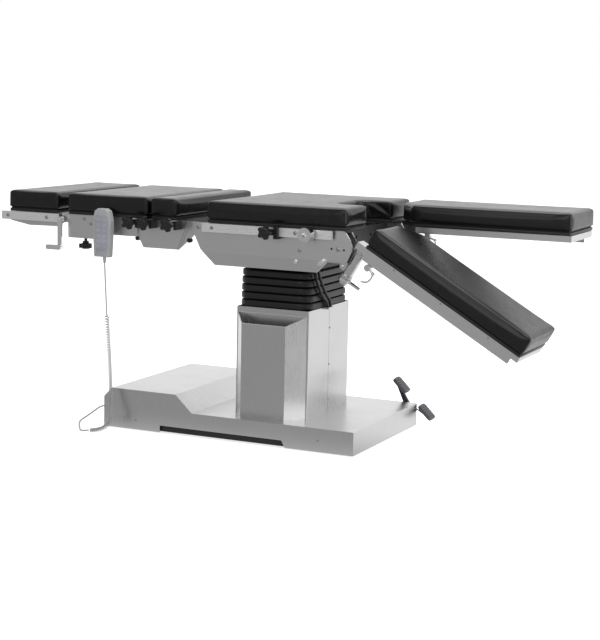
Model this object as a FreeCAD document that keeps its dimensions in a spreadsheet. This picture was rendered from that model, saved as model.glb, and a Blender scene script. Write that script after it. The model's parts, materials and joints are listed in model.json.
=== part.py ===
"""Operating table: covered base, lifting column, tilting top in hinged padded sections.

Millimetres. The origin is on the floor under the column's axis, +X towards the foot
end, +Z up, and the side with the handset is -Y. The table is at its lowest height
with its top level, apart from the near leg section, which hangs down.
"""
import FreeCAD, Part
import Sketcher
import math
import os
import re

SIZES = [
    ("table_height", 780, "floor to the top of the pads at the lowest lift"),
    ("foam_thick", 58, "foam of every pad"),
    ("foam_edge", 6, "radius of the foam's top edge"),
    ("board_thick", 12, "board bonded under the foam"),
    ("board_inset", 3, "board edge inside the foam edge"),
    ("pad_width", 548, "width of the pads"),
    ("pad_corner", 8, "pad corner radius seen from above"),
    ("frame_width", 516, "outside width over the side plates"),
    ("plate_thick", 4, "side plate sheet"),
    ("plate_gap", 4, "gap between side plates that pass each other"),
    ("frame_top_gap", 1.5, "gap between a frame and the board above it"),
    ("rail_high", 28, "side rail height"),
    ("rail_thick", 10, "side rail thickness"),
    ("rail_standoff", 10, "gap between rail and side plate"),
    ("spacer_radius", 8, "rail spacer radius"),
    ("seat_head_end", 189, "column axis to the head end of the seat pad"),
    ("seat_foot_end", 302, "column axis to the foot end of the seat pad"),
    ("cutout_width", 204, "width of the seat cut-out"),
    ("cutout_depth", 110, "depth of the seat cut-out"),
    ("cutout_corner", 42, "corner radius of the seat cut-out"),
    ("seat_plate_low", "=table_height - 208", "height of the seat plates' lower edge"),
    ("crease_rise", 40, "height of the seat plate's bent foot"),
    ("crease_in", 8, "inward lean of the seat plate's bent foot"),
    ("back_hinge_x", 225, "column axis to the back hinge"),
    ("side_hinge_z", "=table_height - 88", "height of the back and head hinges"),
    ("hinge_pin_radius", 6, "radius of the back and head hinge pins"),
    ("hinge_lug_radius", 16, "radius of the hinge lugs"),
    ("pin_clearance", 0.05, "radial clearance of every pin in its bore"),
    ("back_pad_end", 300, "column axis to the near end of the lower back pad"),
    ("back_pad_long", 98, "length of the lower back pad"),
    ("pad_seam", 9, "gap between the lower and upper back pads"),
    ("upper_pad_long", 311, "length of the upper back pad"),
    ("head_pad_gap", 37, "gap between the upper back and head pads"),
    ("head_pad_long", 199, "length of the head pad"),
    ("head_hinge_x", 741, "column axis to the head hinge"),
    ("head_rail_over", 21, "rail length past the head pad"),
    ("lever_gap", 1, "gap between the head rail's end and the release lever"),
    ("lever_thick", 6, "thickness of the head release lever"),
    ("lever_wide", 16, "width of the head release lever"),
    ("lever_long", 95, "head hinge to the middle of the lever's paddle"),
    ("leg_pad_start", 343, "column axis to the leg pads"),
    ("leg_pad_long", 594, "length of the leg pads"),
    ("leg_gap", 16, "gap between the two leg pads"),
    ("leg_cut_long", 66, "length of the cut inner corner of a leg pad"),
    ("leg_cut_wide", 87, "width of the cut inner corner of a leg pad"),
    ("leg_frame_deep", 40, "depth of the leg frame channel"),
    ("leg_frame_sheet", 3, "leg frame sheet"),
    ("leg_frame_shallow", 20, "depth of the leg frame's other walls"),
    ("leg_drop", 30.5, "angle of the near leg section below level"),
    ("fold_x", 270, "column axis to the leg fold axis"),
    ("fold_z", "=table_height - 130", "height of the leg fold axis"),
    ("fold_pin_radius", 8, "radius of the leg fold pin"),
    ("spread_x", 330, "column axis to the leg spread axis"),
    ("spread_y", "=frame_width/2 - 28", "table centre to the leg spread axis"),
    ("spindle_radius", 11, "radius of the spread spindle"),
    ("sleeve_radius", 17, "outer radius of the spread sleeve"),
    ("sleeve_low", "=fold_z - 68", "lower end of the spread sleeve"),
    ("sleeve_top", "=fold_z + 34", "upper end of the spread sleeve"),
    ("arm_thick", 24, "thickness of the leg hinge arm"),
    ("hook_y", "=frame_width/2 - 14", "table centre to the leg release hook"),
    ("tilt_z", "=table_height - 130", "height of both tilt axes"),
    ("tilt_pin_radius", 12, "radius of the tilt pins"),
    ("tilt_ear_at", 61, "column axis to the middle of a tilt ear"),
    ("tilt_ear_thick", 12, "thickness of a tilt ear"),
    ("base_head_end", 570, "column axis to the head end of the base"),
    ("base_foot_end", 345, "column axis to the foot end of the base"),
    ("base_width", 550, "width of the base cover"),
    ("low_deck", 79, "height of the base's low deck"),
    ("high_deck", 136, "height of the base's raised deck"),
    ("deck_ramp_top", 295, "column axis to the top of the deck's ramp"),
    ("deck_ramp_foot", 234, "column axis to the foot of the deck's ramp"),
    ("deck_bevel_long", 30, "length of the head end bevel"),
    ("deck_bevel_high", 31, "height of the head end bevel"),
    ("cover_sheet", 2.5, "base cover sheet"),
    ("cover_gap", 3, "gap under the base cover"),
    ("notch_head", 354, "column axis to the head end of the skirt notch"),
    ("notch_foot", 94, "column axis to the foot end of the skirt notch"),
    ("notch_high", 26, "height of the skirt notch above the floor"),
    ("notch_slant", 14, "slant of the notch's foot end"),
    ("chassis_gap", 10, "gap between the chassis and the cover's skirt"),
    ("chassis_wide", 24, "width of the chassis rails"),
    ("chassis_low", 5, "height of the chassis above the floor"),
    ("chassis_deep", 30, "depth of the chassis rails"),
    ("foot_radius", 20, "radius of a floor foot"),
    ("foot_x_head", 538, "column axis to the head end feet"),
    ("foot_x_foot", 314, "column axis to the foot end feet"),
    ("foot_y", 240, "table centre to the feet"),
    ("guide_x", 130, "column axis to the carriage's guide posts"),
    ("guide_radius", 5, "radius of the carriage's guide posts"),
    ("column_long", 262, "column cover along the table"),
    ("column_wide", 328, "column cover across the table"),
    ("column_top", 432, "top of the column cover"),
    ("column_sheet", 2, "column cover sheet"),
    ("column_corner", 6, "corner radius of the column cover"),
    ("cover_seam", 1.2, "seam between the column cover's halves"),
    ("pocket_wide", 158, "width of the pocket's front panel"),
    ("pocket_deep", 64, "how far the pocket stands out of the column"),
    ("pocket_rim", 387, "height of the pocket's front rim"),
    ("pocket_base", 12, "height of the pocket's floor above the deck"),
    ("mast_long", 180, "outer mast along the table"),
    ("mast_wide", 220, "outer mast across the table"),
    ("mast_wall", 8, "wall of the masts"),
    ("mast_gap", 1, "gap between the outer and inner mast"),
    ("mast_top", 425, "top of the outer mast"),
    ("inner_mast_low", 96, "lower end of the inner mast"),
    ("lift_plate_z", "=tilt_z - 72", "underside of the lift head plate"),
    ("lift_plate_thick", 10, "lift head plate thickness"),
    ("fold_count", 5, "folds of the bellows"),
    ("fold_pitch", "=(lift_plate_z - column_top - 21)/fold_count", "height of one fold"),
    ("fold_depth", 12, "depth of a fold"),
    ("bellows_corner", 30, "corner radius of a fold"),
    ("bellows_wall", 5, "wall of the bellows between the folds"),
    ("wheel_radius", 25, "castor wheel radius"),
    ("wheel_wide", 20, "castor wheel width"),
    ("wheel_clear", 3, "height of the raised wheels above the floor"),
    ("wheel_trail", 16, "castor trail"),
    ("axle_radius", 4, "castor axle radius"),
    ("castor_x_head", 490, "column axis to the head end castors"),
    ("castor_x_foot", 235, "column axis to the foot end castors"),
    ("castor_y", 190, "table centre to the castors"),
    ("carriage_z", 62, "underside of the castor carriage"),
    ("carriage_thick", 6, "castor carriage plate"),
    ("pedal_pivot_x", 308, "column axis to the brake shaft"),
    ("pedal_pivot_z", 60, "height of the brake shaft"),
    ("pedal_shaft_radius", 8, "brake shaft radius"),
    ("pedal_y", 303, "table centre to the middle of the brake pedals"),
    ("pedal_wide", 50, "width of a brake pad"),
    ("pedal_long", 64, "length of a brake pad"),
    ("pedal_thick", 11, "thickness of a brake pad"),
    ("pedal_slope", 45, "slope of the brake pads"),
    ("knob_radius", 23, "star knob radius to the tips of its lobes"),
    ("knob_thick", 20, "star knob thickness"),
    ("knob_reach", 52, "side plate to the back of a star knob"),
    ("knob_stem_radius", 5, "star knob stem radius"),
    ("clamp_wide", 8, "width of a clamp bar"),
    ("clamp_high", 28, "height of a clamp bar"),
    ("knob_rise", 4, "back knobs above the middle of the rail"),
    ("socket_x", 180, "column axis to the rail socket"),
    ("socket_radius", 22.5, "radius of the rail socket's barrel"),
    ("prong_at", "=frame_width/2 - 68", "table centre to the prongs of the upper back"),
    ("prong_wide", 14, "width of a prong"),
    ("prong_high", 24, "height of a prong"),
    ("prong_long", 127, "length of a prong past the plate's end"),
    ("stem_knob_x", 668, "column axis to the upright knob under the upper back"),
    ("stem_knob_y", "=frame_width/2 - 22", "table centre to the upright knob"),
    ("handset_x", 560, "column axis to the handset"),
    ("handset_y", "=frame_width/2 + 42", "table centre to the middle of the handset"),
    ("handset_low", "=table_height - 202", "height of the handset's lower end"),
    ("handset_high", 160, "length of the handset"),
    ("handset_wide", 70, "width of the handset at its shoulders"),
    ("handset_thick", 24, "thickness of the handset"),
    ("hook_top", "=table_height - 84", "height of the handset bracket's top edge"),
    ("gland_y", 200, "table centre to the cord gland"),
    ("gland_z", 60, "height of the cord gland"),
    ("lead_radius", 2.5, "radius of the handset lead"),
    ("curl_radius", 8, "outer radius of the curly part of the handset lead"),
    ("hose_radius", 5, "radius of the two tilt hoses"),
]

doc = FreeCAD.newDocument("operating_table")
sheet = doc.addObject("Spreadsheet::Sheet", "Sizes")
for row, (alias, value, meaning) in enumerate(SIZES, start=1):
    sheet.set(f"A{row}", meaning)
    sheet.setAlias(f"B{row}", alias)
for row, (alias, value, meaning) in enumerate(SIZES, start=1):
    sheet.set(f"B{row}", str(value))
doc.recompute()

NAMES = {alias for alias, value, meaning in SIZES}
NEAR, FAR = -1, 1
SIDES = (("near", NEAR), ("far", FAR))
PIECES = []


def linked(text):
    """The expression with each size name pointed at its cell."""
    return re.sub(r"[a-z][a-z_]*",
                  lambda word: "Sizes." + word.group() if word.group() in NAMES else word.group(),
                  str(text))


def size(text):
    """The present value of an expression of sizes."""
    return float(sheet.evalExpression(linked(text)))


def bind(thing, prop, text):
    thing.setExpression(prop, linked(text))


class Piece:
    """One sub-part: a body whose sketches and features take their sizes from the sheet.

    Outlines are lists of (across, up) expressions. A pad or cut on plane XY runs along
    Z, on XZ along Y and on YZ along X, always from its low to its high end.
    """

    def __init__(self, label):
        self.body = doc.addObject("PartDesign::Body", label)
        self.body.Label = label
        self.body.AllowCompound = True
        PIECES.append(self.body)

    def sketch(self, plane, shift, contours):
        support = [f for f in self.body.Origin.OriginFeatures if f.Role == plane + "_Plane"][0]
        sketch = self.body.newObject("Sketcher::SketchObject", "Outline")
        sketch.AttachmentSupport = [(support, "")]
        sketch.MapMode = "FlatFace"
        for axis, text in zip("xyz", shift):
            bind(sketch, "AttachmentOffset.Base." + axis, text)
        for contour in contours:
            if contour[0] == "circle":
                self.circle(sketch, *contour[1:])
            else:
                self.polygon(sketch, contour)
        return sketch

    def place(self, sketch, index, point, text_x, text_y):
        """Hold one point of the sketch at two expressions."""
        for kind, text in (("DistanceX", text_x), ("DistanceY", text_y)):
            constraint = Sketcher.Constraint(kind, -1, 1, index, point, size(text))
            bind(sketch, f"Constraints[{sketch.addConstraint(constraint)}]", text)

    def polygon(self, sketch, outline):
        corners = [FreeCAD.Vector(size(x), size(y), 0) for x, y in outline]
        first = sketch.GeometryCount
        count = len(corners)
        for i in range(count):
            sketch.addGeometry(Part.LineSegment(corners[i], corners[(i + 1) % count]), False)
        for i in range(count):
            after = first + (i + 1) % count
            sketch.addConstraint(Sketcher.Constraint("Coincident", first + i, 2, after, 1))
        for i, (x, y) in enumerate(outline):
            self.place(sketch, first + i, 1, x, y)

    def circle(self, sketch, x, y, radius):
        centre = FreeCAD.Vector(size(x), size(y), 0)
        shape = Part.Circle(centre, FreeCAD.Vector(0, 0, 1), size(radius))
        index = sketch.addGeometry(shape, False)
        constraint = Sketcher.Constraint("Radius", index, size(radius))
        bind(sketch, f"Constraints[{sketch.addConstraint(constraint)}]", radius)
        self.place(sketch, index, 3, x, y)

    def along(self, kind, plane, low, high, contours):
        """A pad or pocket between two heights along the plane's normal."""
        lift = f"-({high})" if plane == "XZ" else low
        sketch = self.sketch(plane, ("0", "0", lift), contours)
        feature = self.body.newObject("PartDesign::" + kind, kind)
        feature.Profile = sketch
        feature.Reversed = kind == "Pocket"
        bind(feature, "Length", f"({high}) - ({low})")
        return feature

    def pad(self, plane, low, high, *contours):
        self.along("Pad", plane, low, high, contours)
        return self

    def cut(self, plane, low, high, *contours):
        doc.recompute()
        before = self.body.Shape.Volume
        self.along("Pocket", plane, low, high, contours)
        doc.recompute()
        if self.body.Shape.Volume >= before:
            raise ValueError(f"{self.body.Label}: a cut on {plane} removes nothing")
        return self

    def turn(self, axis, at, outline):
        """A solid of revolution about a line along X, Y or Z that passes through at."""
        plane, shift, edge = {
            "X": ("XY", ("0", at[0], at[1]), "H_Axis"),
            "Y": ("XY", (at[0], "0", at[1]), "V_Axis"),
            "Z": ("XZ", (at[0], "0", f"-({at[1]})"), "V_Axis"),
        }[axis]
        sketch = self.sketch(plane, shift, [outline])
        feature = self.body.newObject("PartDesign::Revolution", "Turned")
        feature.Profile = sketch
        feature.ReferenceAxis = (sketch, [edge])
        feature.Angle = 360
        return self

    def rod(self, axis, at, radius, low, high):
        """A plain round bar along X, Y or Z."""
        plane = {"X": "YZ", "Y": "XZ", "Z": "XY"}[axis]
        return self.pad(plane, low, high, ("circle", at[0], at[1], radius))

    def bore(self, axis, at, radius, low, high):
        plane = {"X": "YZ", "Y": "XZ", "Z": "XY"}[axis]
        return self.cut(plane, low, high, ("circle", at[0], at[1], radius))

    def round(self, radius, chosen, kind="Fillet"):
        """Round, or chamfer, the straight or curved edges that a test picks."""
        doc.recompute()
        base = self.body.Tip
        names = [f"Edge{i}" for i, edge in enumerate(base.Shape.Edges, 1) if chosen(edge)]
        if not names:
            raise ValueError(f"{self.body.Label}: no edge to round")
        feature = self.body.newObject("PartDesign::" + kind, "Rounded")
        feature.Base = (base, names)
        bind(feature, "Radius" if kind == "Fillet" else "Size", radius)
        return self

    def ring(self, plane, at, radius, count, lobe_at, low, high):
        """Round lobes spaced evenly round an axis normal to the plane."""
        lift = f"-({high})" if plane == "XZ" else low
        sketch = self.sketch(plane, (at[0], at[1], lift), [("circle", lobe_at, "0", radius)])
        lobe = self.body.newObject("PartDesign::Pad", "Lobe")
        lobe.Profile = sketch
        bind(lobe, "Length", f"({high}) - ({low})")
        doc.recompute()
        pattern = self.body.newObject("PartDesign::PolarPattern", "Lobes")
        pattern.Originals = [lobe]
        pattern.Axis = (sketch, ["N_Axis"])
        pattern.Angle = 360
        pattern.Occurrences = count
        self.body.Tip = pattern
        return self


def parallel(edge, axis):
    """Whether an edge is straight and runs along X, Y or Z."""
    if edge.Curve.TypeId != "Part::GeomLine":
        return False
    along = edge.tangentAt(edge.FirstParameter)
    return abs(abs(getattr(along, axis.lower())) - 1) < 1e-6


def near_corner(edge, axis, corners):
    """Whether an edge along an axis passes one of the corners, given in the other two axes."""
    if not parallel(edge, axis):
        return False
    middle = edge.CenterOfMass
    flat = [getattr(middle, name) for name in "xyz" if name != axis.lower()]
    return any(math.dist(flat, corner) < 0.5 for corner in corners)


def box(x_low, x_high, y_low, y_high):
    """A rectangle as an outline."""
    return [(x_low, y_low), (x_high, y_low), (x_high, y_high), (x_low, y_high)]


def span(side, inner, outer):
    """The low and high ends of a stretch that lies on one side of the table."""
    if side == NEAR:
        return f"-({outer})", f"-({inner})"
    return inner, outer


def at_side(side, text):
    return f"{side}*({text})"


def solid_piece(label, shape):
    """A sub-part whose shape is worked out with the geometry kernel's own functions."""
    feature = doc.addObject("Part::Feature", label)
    feature.Label = label
    feature.Shape = shape
    PIECES.append(feature)
    return feature


# Heights and widths that several pieces share.
PAD_LOW = "(table_height - foam_thick)"
BOARD_LOW = "(table_height - foam_thick - board_thick)"
FRAME_TOP = f"({BOARD_LOW} - frame_top_gap)"
RAIL_LOW = f"({FRAME_TOP} - rail_high)"
RAIL_MID = f"({FRAME_TOP} - rail_high/2)"
PLATE_OUT = "(frame_width/2)"
PLATE_IN = "(frame_width/2 - plate_thick)"
INNER_OUT = "(frame_width/2 - plate_thick - plate_gap)"
INNER_IN = "(frame_width/2 - 2*plate_thick - plate_gap)"
RAIL_IN = "(frame_width/2 + rail_standoff)"
RAIL_OUT = "(frame_width/2 + rail_standoff + rail_thick)"
HALF_BASE = "(base_width/2)"
HALF_LONG = "(column_long/2)"
HALF_WIDE = "(column_wide/2)"
HOOK_X = "(spread_x + 50)"
HOOK_Z = f"({FRAME_TOP} - leg_frame_deep - 14)"
PRONG_LOW = f"({FRAME_TOP} - 34)"
KNOB_Z = f"({RAIL_MID} + knob_rise)"
LEVER_IN = f"({RAIL_OUT} + lever_gap)"
LEVER_OUT = f"({RAIL_OUT} + lever_gap + lever_thick)"
KNOB_BACK = f"({PLATE_OUT} + knob_reach)"


def pad_solid(label, outline, board_outline, inner=()):
    """A pad: foam with a board bonded under it, set in from the foam's edge."""
    piece = Piece(label)
    piece.pad("XY", PAD_LOW, "table_height", outline)
    corners = [(size(x), size(y)) for x, y in outline if (x, y) not in inner]
    piece.round("pad_corner", lambda edge: near_corner(edge, "Z", corners))
    if inner:
        hollow = [(size(x), size(y)) for x, y in inner]
        piece.round("cutout_corner", lambda edge: near_corner(edge, "Z", hollow))
    doc.recompute()
    top = size("table_height")
    piece.round("foam_edge", lambda edge: abs(edge.BoundBox.ZMin - top) < 0.01)
    piece.pad("XY", BOARD_LOW, PAD_LOW, board_outline)
    return piece


def plain_pad(label, low, high):
    """A rectangular pad across the table between two places along it."""
    half = "(pad_width/2)"
    outline = box(low, high, f"-{half}", half)
    board = box(f"({low}) + board_inset", f"({high}) - board_inset",
                f"-({half} - board_inset)", f"{half} - board_inset")
    return pad_solid(label, outline, board)


def base_cover():
    """Folded sheet tray: low deck, ramp up to a raised deck, skirt with a notch."""
    piece = Piece("base_cover")

    def profile(wall):
        lean = "(high_deck - low_deck)/(deck_ramp_top - deck_ramp_foot)"
        shift = f"({wall})*(sqrt(1 + ({lean})^2) - 1)/({lean})"
        bevel = "deck_bevel_high/deck_bevel_long"
        drop = f"({wall})*(sqrt(1 + ({bevel})^2) - 1)/({bevel})"
        rise = f"({wall})*(sqrt(1 + ({bevel})^2) - ({bevel}))"
        low = "cover_gap" if wall == "0" else "0"
        return [
            (f"-base_head_end + {wall}", low),
            (f"base_foot_end - {wall}", low),
            (f"base_foot_end - {wall}", f"low_deck - {wall}"),
            (f"-deck_ramp_foot - {shift}", f"low_deck - {wall}"),
            (f"-deck_ramp_top - {shift}", f"high_deck - {wall}"),
            (f"-base_head_end + deck_bevel_long + {drop}", f"high_deck - {wall}"),
            (f"-base_head_end + {wall}", f"high_deck - deck_bevel_high - {rise}"),
        ]

    piece.pad("XZ", f"-{HALF_BASE}", HALF_BASE, profile("0"))
    piece.cut("XZ", f"-{HALF_BASE} + cover_sheet", f"{HALF_BASE} - cover_sheet",
              profile("cover_sheet"))
    notch = [
        ("-notch_head", "0"),
        ("notch_foot + notch_slant", "0"),
        ("notch_foot", "notch_high"),
        ("-notch_head", "notch_high"),
    ]
    piece.cut("XZ", f"-{HALF_BASE} - cover_sheet", f"{HALF_BASE} + cover_sheet", notch)
    opening = box("-mast_long/2 - mast_gap", "mast_long/2 + mast_gap",
                  "-mast_wide/2 - mast_gap", "mast_wide/2 + mast_gap")
    piece.cut("XY", "low_deck - 2*cover_sheet", "low_deck + cover_sheet", opening)
    piece.bore("Y", ("pedal_pivot_x", "pedal_pivot_z"), "pedal_shaft_radius + 2",
               f"{HALF_BASE} - 2*cover_sheet", f"{HALF_BASE} + cover_sheet")
    return piece


def base_chassis():
    """Steel frame under the cover: ring of rails, cross plate under the mast, guide posts."""
    piece = Piece("base_chassis")
    half = f"({HALF_BASE} - chassis_gap)"
    head = "(-base_head_end + chassis_gap)"
    foot = "(base_foot_end - chassis_gap)"
    top = "chassis_low + chassis_deep"
    piece.pad("XY", "chassis_low", top, box(head, foot, f"-{half}", half))
    piece.cut("XY", "chassis_low", top,
              box(f"{head} + chassis_wide", f"{foot} - chassis_wide",
                  f"-{half} + chassis_wide", f"{half} - chassis_wide"))
    inner = f"({half} - chassis_wide)"
    plate_top = "chassis_low + 10"
    piece.pad("XY", "chassis_low", plate_top,
              box("-mast_long/2 - 60", "mast_long/2 + 60", f"-{inner} - 1", f"{inner} + 1"))
    for x in ("-guide_x", "guide_x"):
        for y in ("-castor_y", "castor_y"):
            piece.rod("Z", (x, y), "guide_radius", "chassis_low", "carriage_z + carriage_thick + 4")
    for y in (f"{inner} - 20", f"{inner} - 70"):
        piece.pad("XZ", y, f"{y} + 12",
                  box("pedal_pivot_x - 16", "pedal_pivot_x + 16", "chassis_low + 2",
                      "pedal_pivot_z + 14"))
    piece.pad("XY", "chassis_low", plate_top,
              box("pedal_pivot_x - 20", f"{foot} - 1", f"{inner} - 74", f"{inner} + 1"))
    piece.bore("Y", ("pedal_pivot_x", "pedal_pivot_z"), "pedal_shaft_radius + pin_clearance",
               f"{inner} - 72", f"{inner} - 6")
    return piece


def base_feet():
    """Four round rubber-soled feet screwed up into the chassis."""
    piece = Piece("base_feet")
    for x in ("-foot_x_head", "foot_x_foot"):
        for y in ("-foot_y", "foot_y"):
            piece.turn("Z", (x, y), [
                ("0", "0"), ("foot_radius - 2", "0"), ("foot_radius", "2"),
                ("foot_radius", "chassis_low - 1.5"), ("foot_radius*0.5", "chassis_low"),
                ("0", "chassis_low"),
            ])
    return piece


def column_cover(label, side):
    """Half of the column's sheet casing, a U that meets the other half at a side seam."""
    piece = Piece(label)
    low, high = span(side, "cover_seam/2", HALF_WIDE)
    piece.pad("XY", "low_deck", "column_top", box(f"-{HALF_LONG}", HALF_LONG, low, high))
    outer_y = size(HALF_WIDE) * side
    corners = [(-size(HALF_LONG), outer_y), (size(HALF_LONG), outer_y)]
    piece.round("column_corner", lambda edge: near_corner(edge, "Z", corners))
    low, high = span(side, "cover_seam/2 - 1", f"{HALF_WIDE} - column_sheet")
    piece.cut("XY", "low_deck", "column_top",
              box(f"-{HALF_LONG} + column_sheet", f"{HALF_LONG} - column_sheet", low, high))
    if side == NEAR:
        piece.pad("XY", "column_top - 6", "column_top",
                  box(f"{HALF_LONG} - 1", f"{HALF_LONG} + 2*hose_radius + 6", "-42", "-2"))
    return piece


def column_pocket():
    """Open-topped sheet pocket on the near face: slanted cheeks and a flat front."""
    piece = Piece("column_pocket")
    back = f"-{HALF_WIDE} - 0.2"

    def outline(wall):
        front = f"-{HALF_WIDE} - pocket_deep + {wall}"
        return [
            (f"-{HALF_LONG} + column_corner + {wall}", back),
            (f"{HALF_LONG} - column_corner - {wall}", back),
            (f"pocket_wide/2 - {wall}/2", front),
            (f"-pocket_wide/2 + {wall}/2", front),
        ]

    rim_back = "column_top - 18"
    piece.pad("XY", "low_deck", rim_back, outline("0"))
    piece.cut("XY", "low_deck + pocket_base", rim_back, outline("column_sheet"))
    slope = [
        (f"-{HALF_WIDE} - pocket_deep - 1", "pocket_rim"),
        (f"-{HALF_WIDE} - 1", f"{rim_back} - 1"),
        (f"-{HALF_WIDE} - 1", f"{rim_back} + 20"),
        (f"-{HALF_WIDE} - pocket_deep - 1", f"{rim_back} + 20"),
    ]
    piece.cut("YZ", f"-{HALF_LONG}", HALF_LONG, slope)
    return piece


def mast(label, long, wide, low, high):
    """One square tube of the telescopic mast."""
    piece = Piece(label)
    piece.pad("XY", low, high,
              box(f"-({long})/2", f"({long})/2", f"-({wide})/2", f"({wide})/2"))
    piece.cut("XY", low, high,
              box(f"-({long})/2 + mast_wall", f"({long})/2 - mast_wall",
                  f"-({wide})/2 + mast_wall", f"({wide})/2 - mast_wall"))
    return piece


def inner_mast():
    """The lifting tube with its head plate and the two ears of the head-foot tilt."""
    inset = "2*(mast_wall + mast_gap)"
    piece = mast("column_inner_mast", f"mast_long - {inset}", f"mast_wide - {inset}",
                 "inner_mast_low", "lift_plate_z")
    piece.pad("XY", "lift_plate_z", "lift_plate_z + lift_plate_thick",
              box(f"-{HALF_LONG} + fold_depth", f"{HALF_LONG} - fold_depth",
                  f"-{HALF_WIDE} + fold_depth", f"{HALF_WIDE} - fold_depth"))
    piece.pad("XY", "lift_plate_z", "lift_plate_z + lift_plate_thick",
              box(f"{HALF_LONG} - fold_depth - 1", f"{HALF_LONG} + 2*hose_radius + 6", "-150", "-108"))
    ear = [
        ("-40", "lift_plate_z + lift_plate_thick"),
        ("40", "lift_plate_z + lift_plate_thick"),
        ("tilt_pin_radius + 8", "tilt_z"),
        ("-tilt_pin_radius - 8", "tilt_z"),
    ]
    for name, side in SIDES:
        low, high = span(side, "tilt_ear_at - tilt_ear_thick/2", "tilt_ear_at + tilt_ear_thick/2")
        piece.pad("XZ", low, high, ear)
        piece.rod("Y", ("0", "tilt_z"), "tilt_pin_radius + 8", low, high)
        piece.bore("Y", ("0", "tilt_z"), "tilt_pin_radius + pin_clearance", low, high)
    return piece


def bellows():
    """Rubber bellows between the column cover and the lift head, round-edged folds."""
    piece = Piece("bellows")
    half_x = f"({HALF_LONG} - fold_depth)"
    half_y = f"({HALF_WIDE} - fold_depth)"
    top = "lift_plate_z - 0.3"
    low = "column_top + 0.3"
    piece.pad("XY", low, top, box(f"-{half_x}", half_x, f"-{half_y}", half_y))
    corners = [(x * size(half_x), y * size(half_y)) for x in (-1, 1) for y in (-1, 1)]
    piece.round("bellows_corner - fold_depth", lambda edge: near_corner(edge, "Z", corners))
    fold_corners = [(x * size(HALF_LONG), y * size(HALF_WIDE)) for x in (-1, 1) for y in (-1, 1)]
    for i in range(int(size("fold_count"))):
        start = f"({low} + {i}*fold_pitch)"
        stop = f"({start} + fold_pitch*0.88)"
        piece.pad("XY", start, stop, box(f"-{HALF_LONG}", HALF_LONG, f"-{HALF_WIDE}", HALF_WIDE))
        piece.round("bellows_corner", lambda edge: near_corner(edge, "Z", fold_corners))
        doc.recompute()
        levels = (size(start), size(stop))

        def rim(edge):
            bounds = edge.BoundBox
            flat = bounds.ZLength < 0.01 and any(abs(bounds.ZMin - z) < 0.01 for z in levels)
            outside = max(abs(bounds.XMin), abs(bounds.XMax)) > size(half_x) + 1
            return flat and (outside or max(abs(bounds.YMin), abs(bounds.YMax)) > size(half_y) + 1)

        piece.round("fold_pitch*0.3", rim)
    piece.cut("XY", low, top,
              box(f"-{half_x} + bellows_wall", f"{half_x} - bellows_wall",
                  f"-{half_y} + bellows_wall", f"{half_y} - bellows_wall"))
    return piece


def tilt_cross():
    """Cross of the two tilt axes: a block with pins along the table and across it."""
    piece = Piece("tilt_cross")
    half = "(tilt_ear_at - tilt_ear_thick/2 - 3)"
    piece.pad("XY", "tilt_z - 24", "tilt_z + 24", box(f"-{half}", half, f"-{half}", half))
    piece.round("6", lambda edge: parallel(edge, "Z"))
    reach = "(tilt_ear_at + tilt_ear_thick/2 + 4)"
    piece.rod("Y", ("0", "tilt_z"), "tilt_pin_radius", f"-{reach}", reach)
    piece.rod("X", ("0", "tilt_z"), "tilt_pin_radius", f"-{reach}", reach)
    return piece


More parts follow.
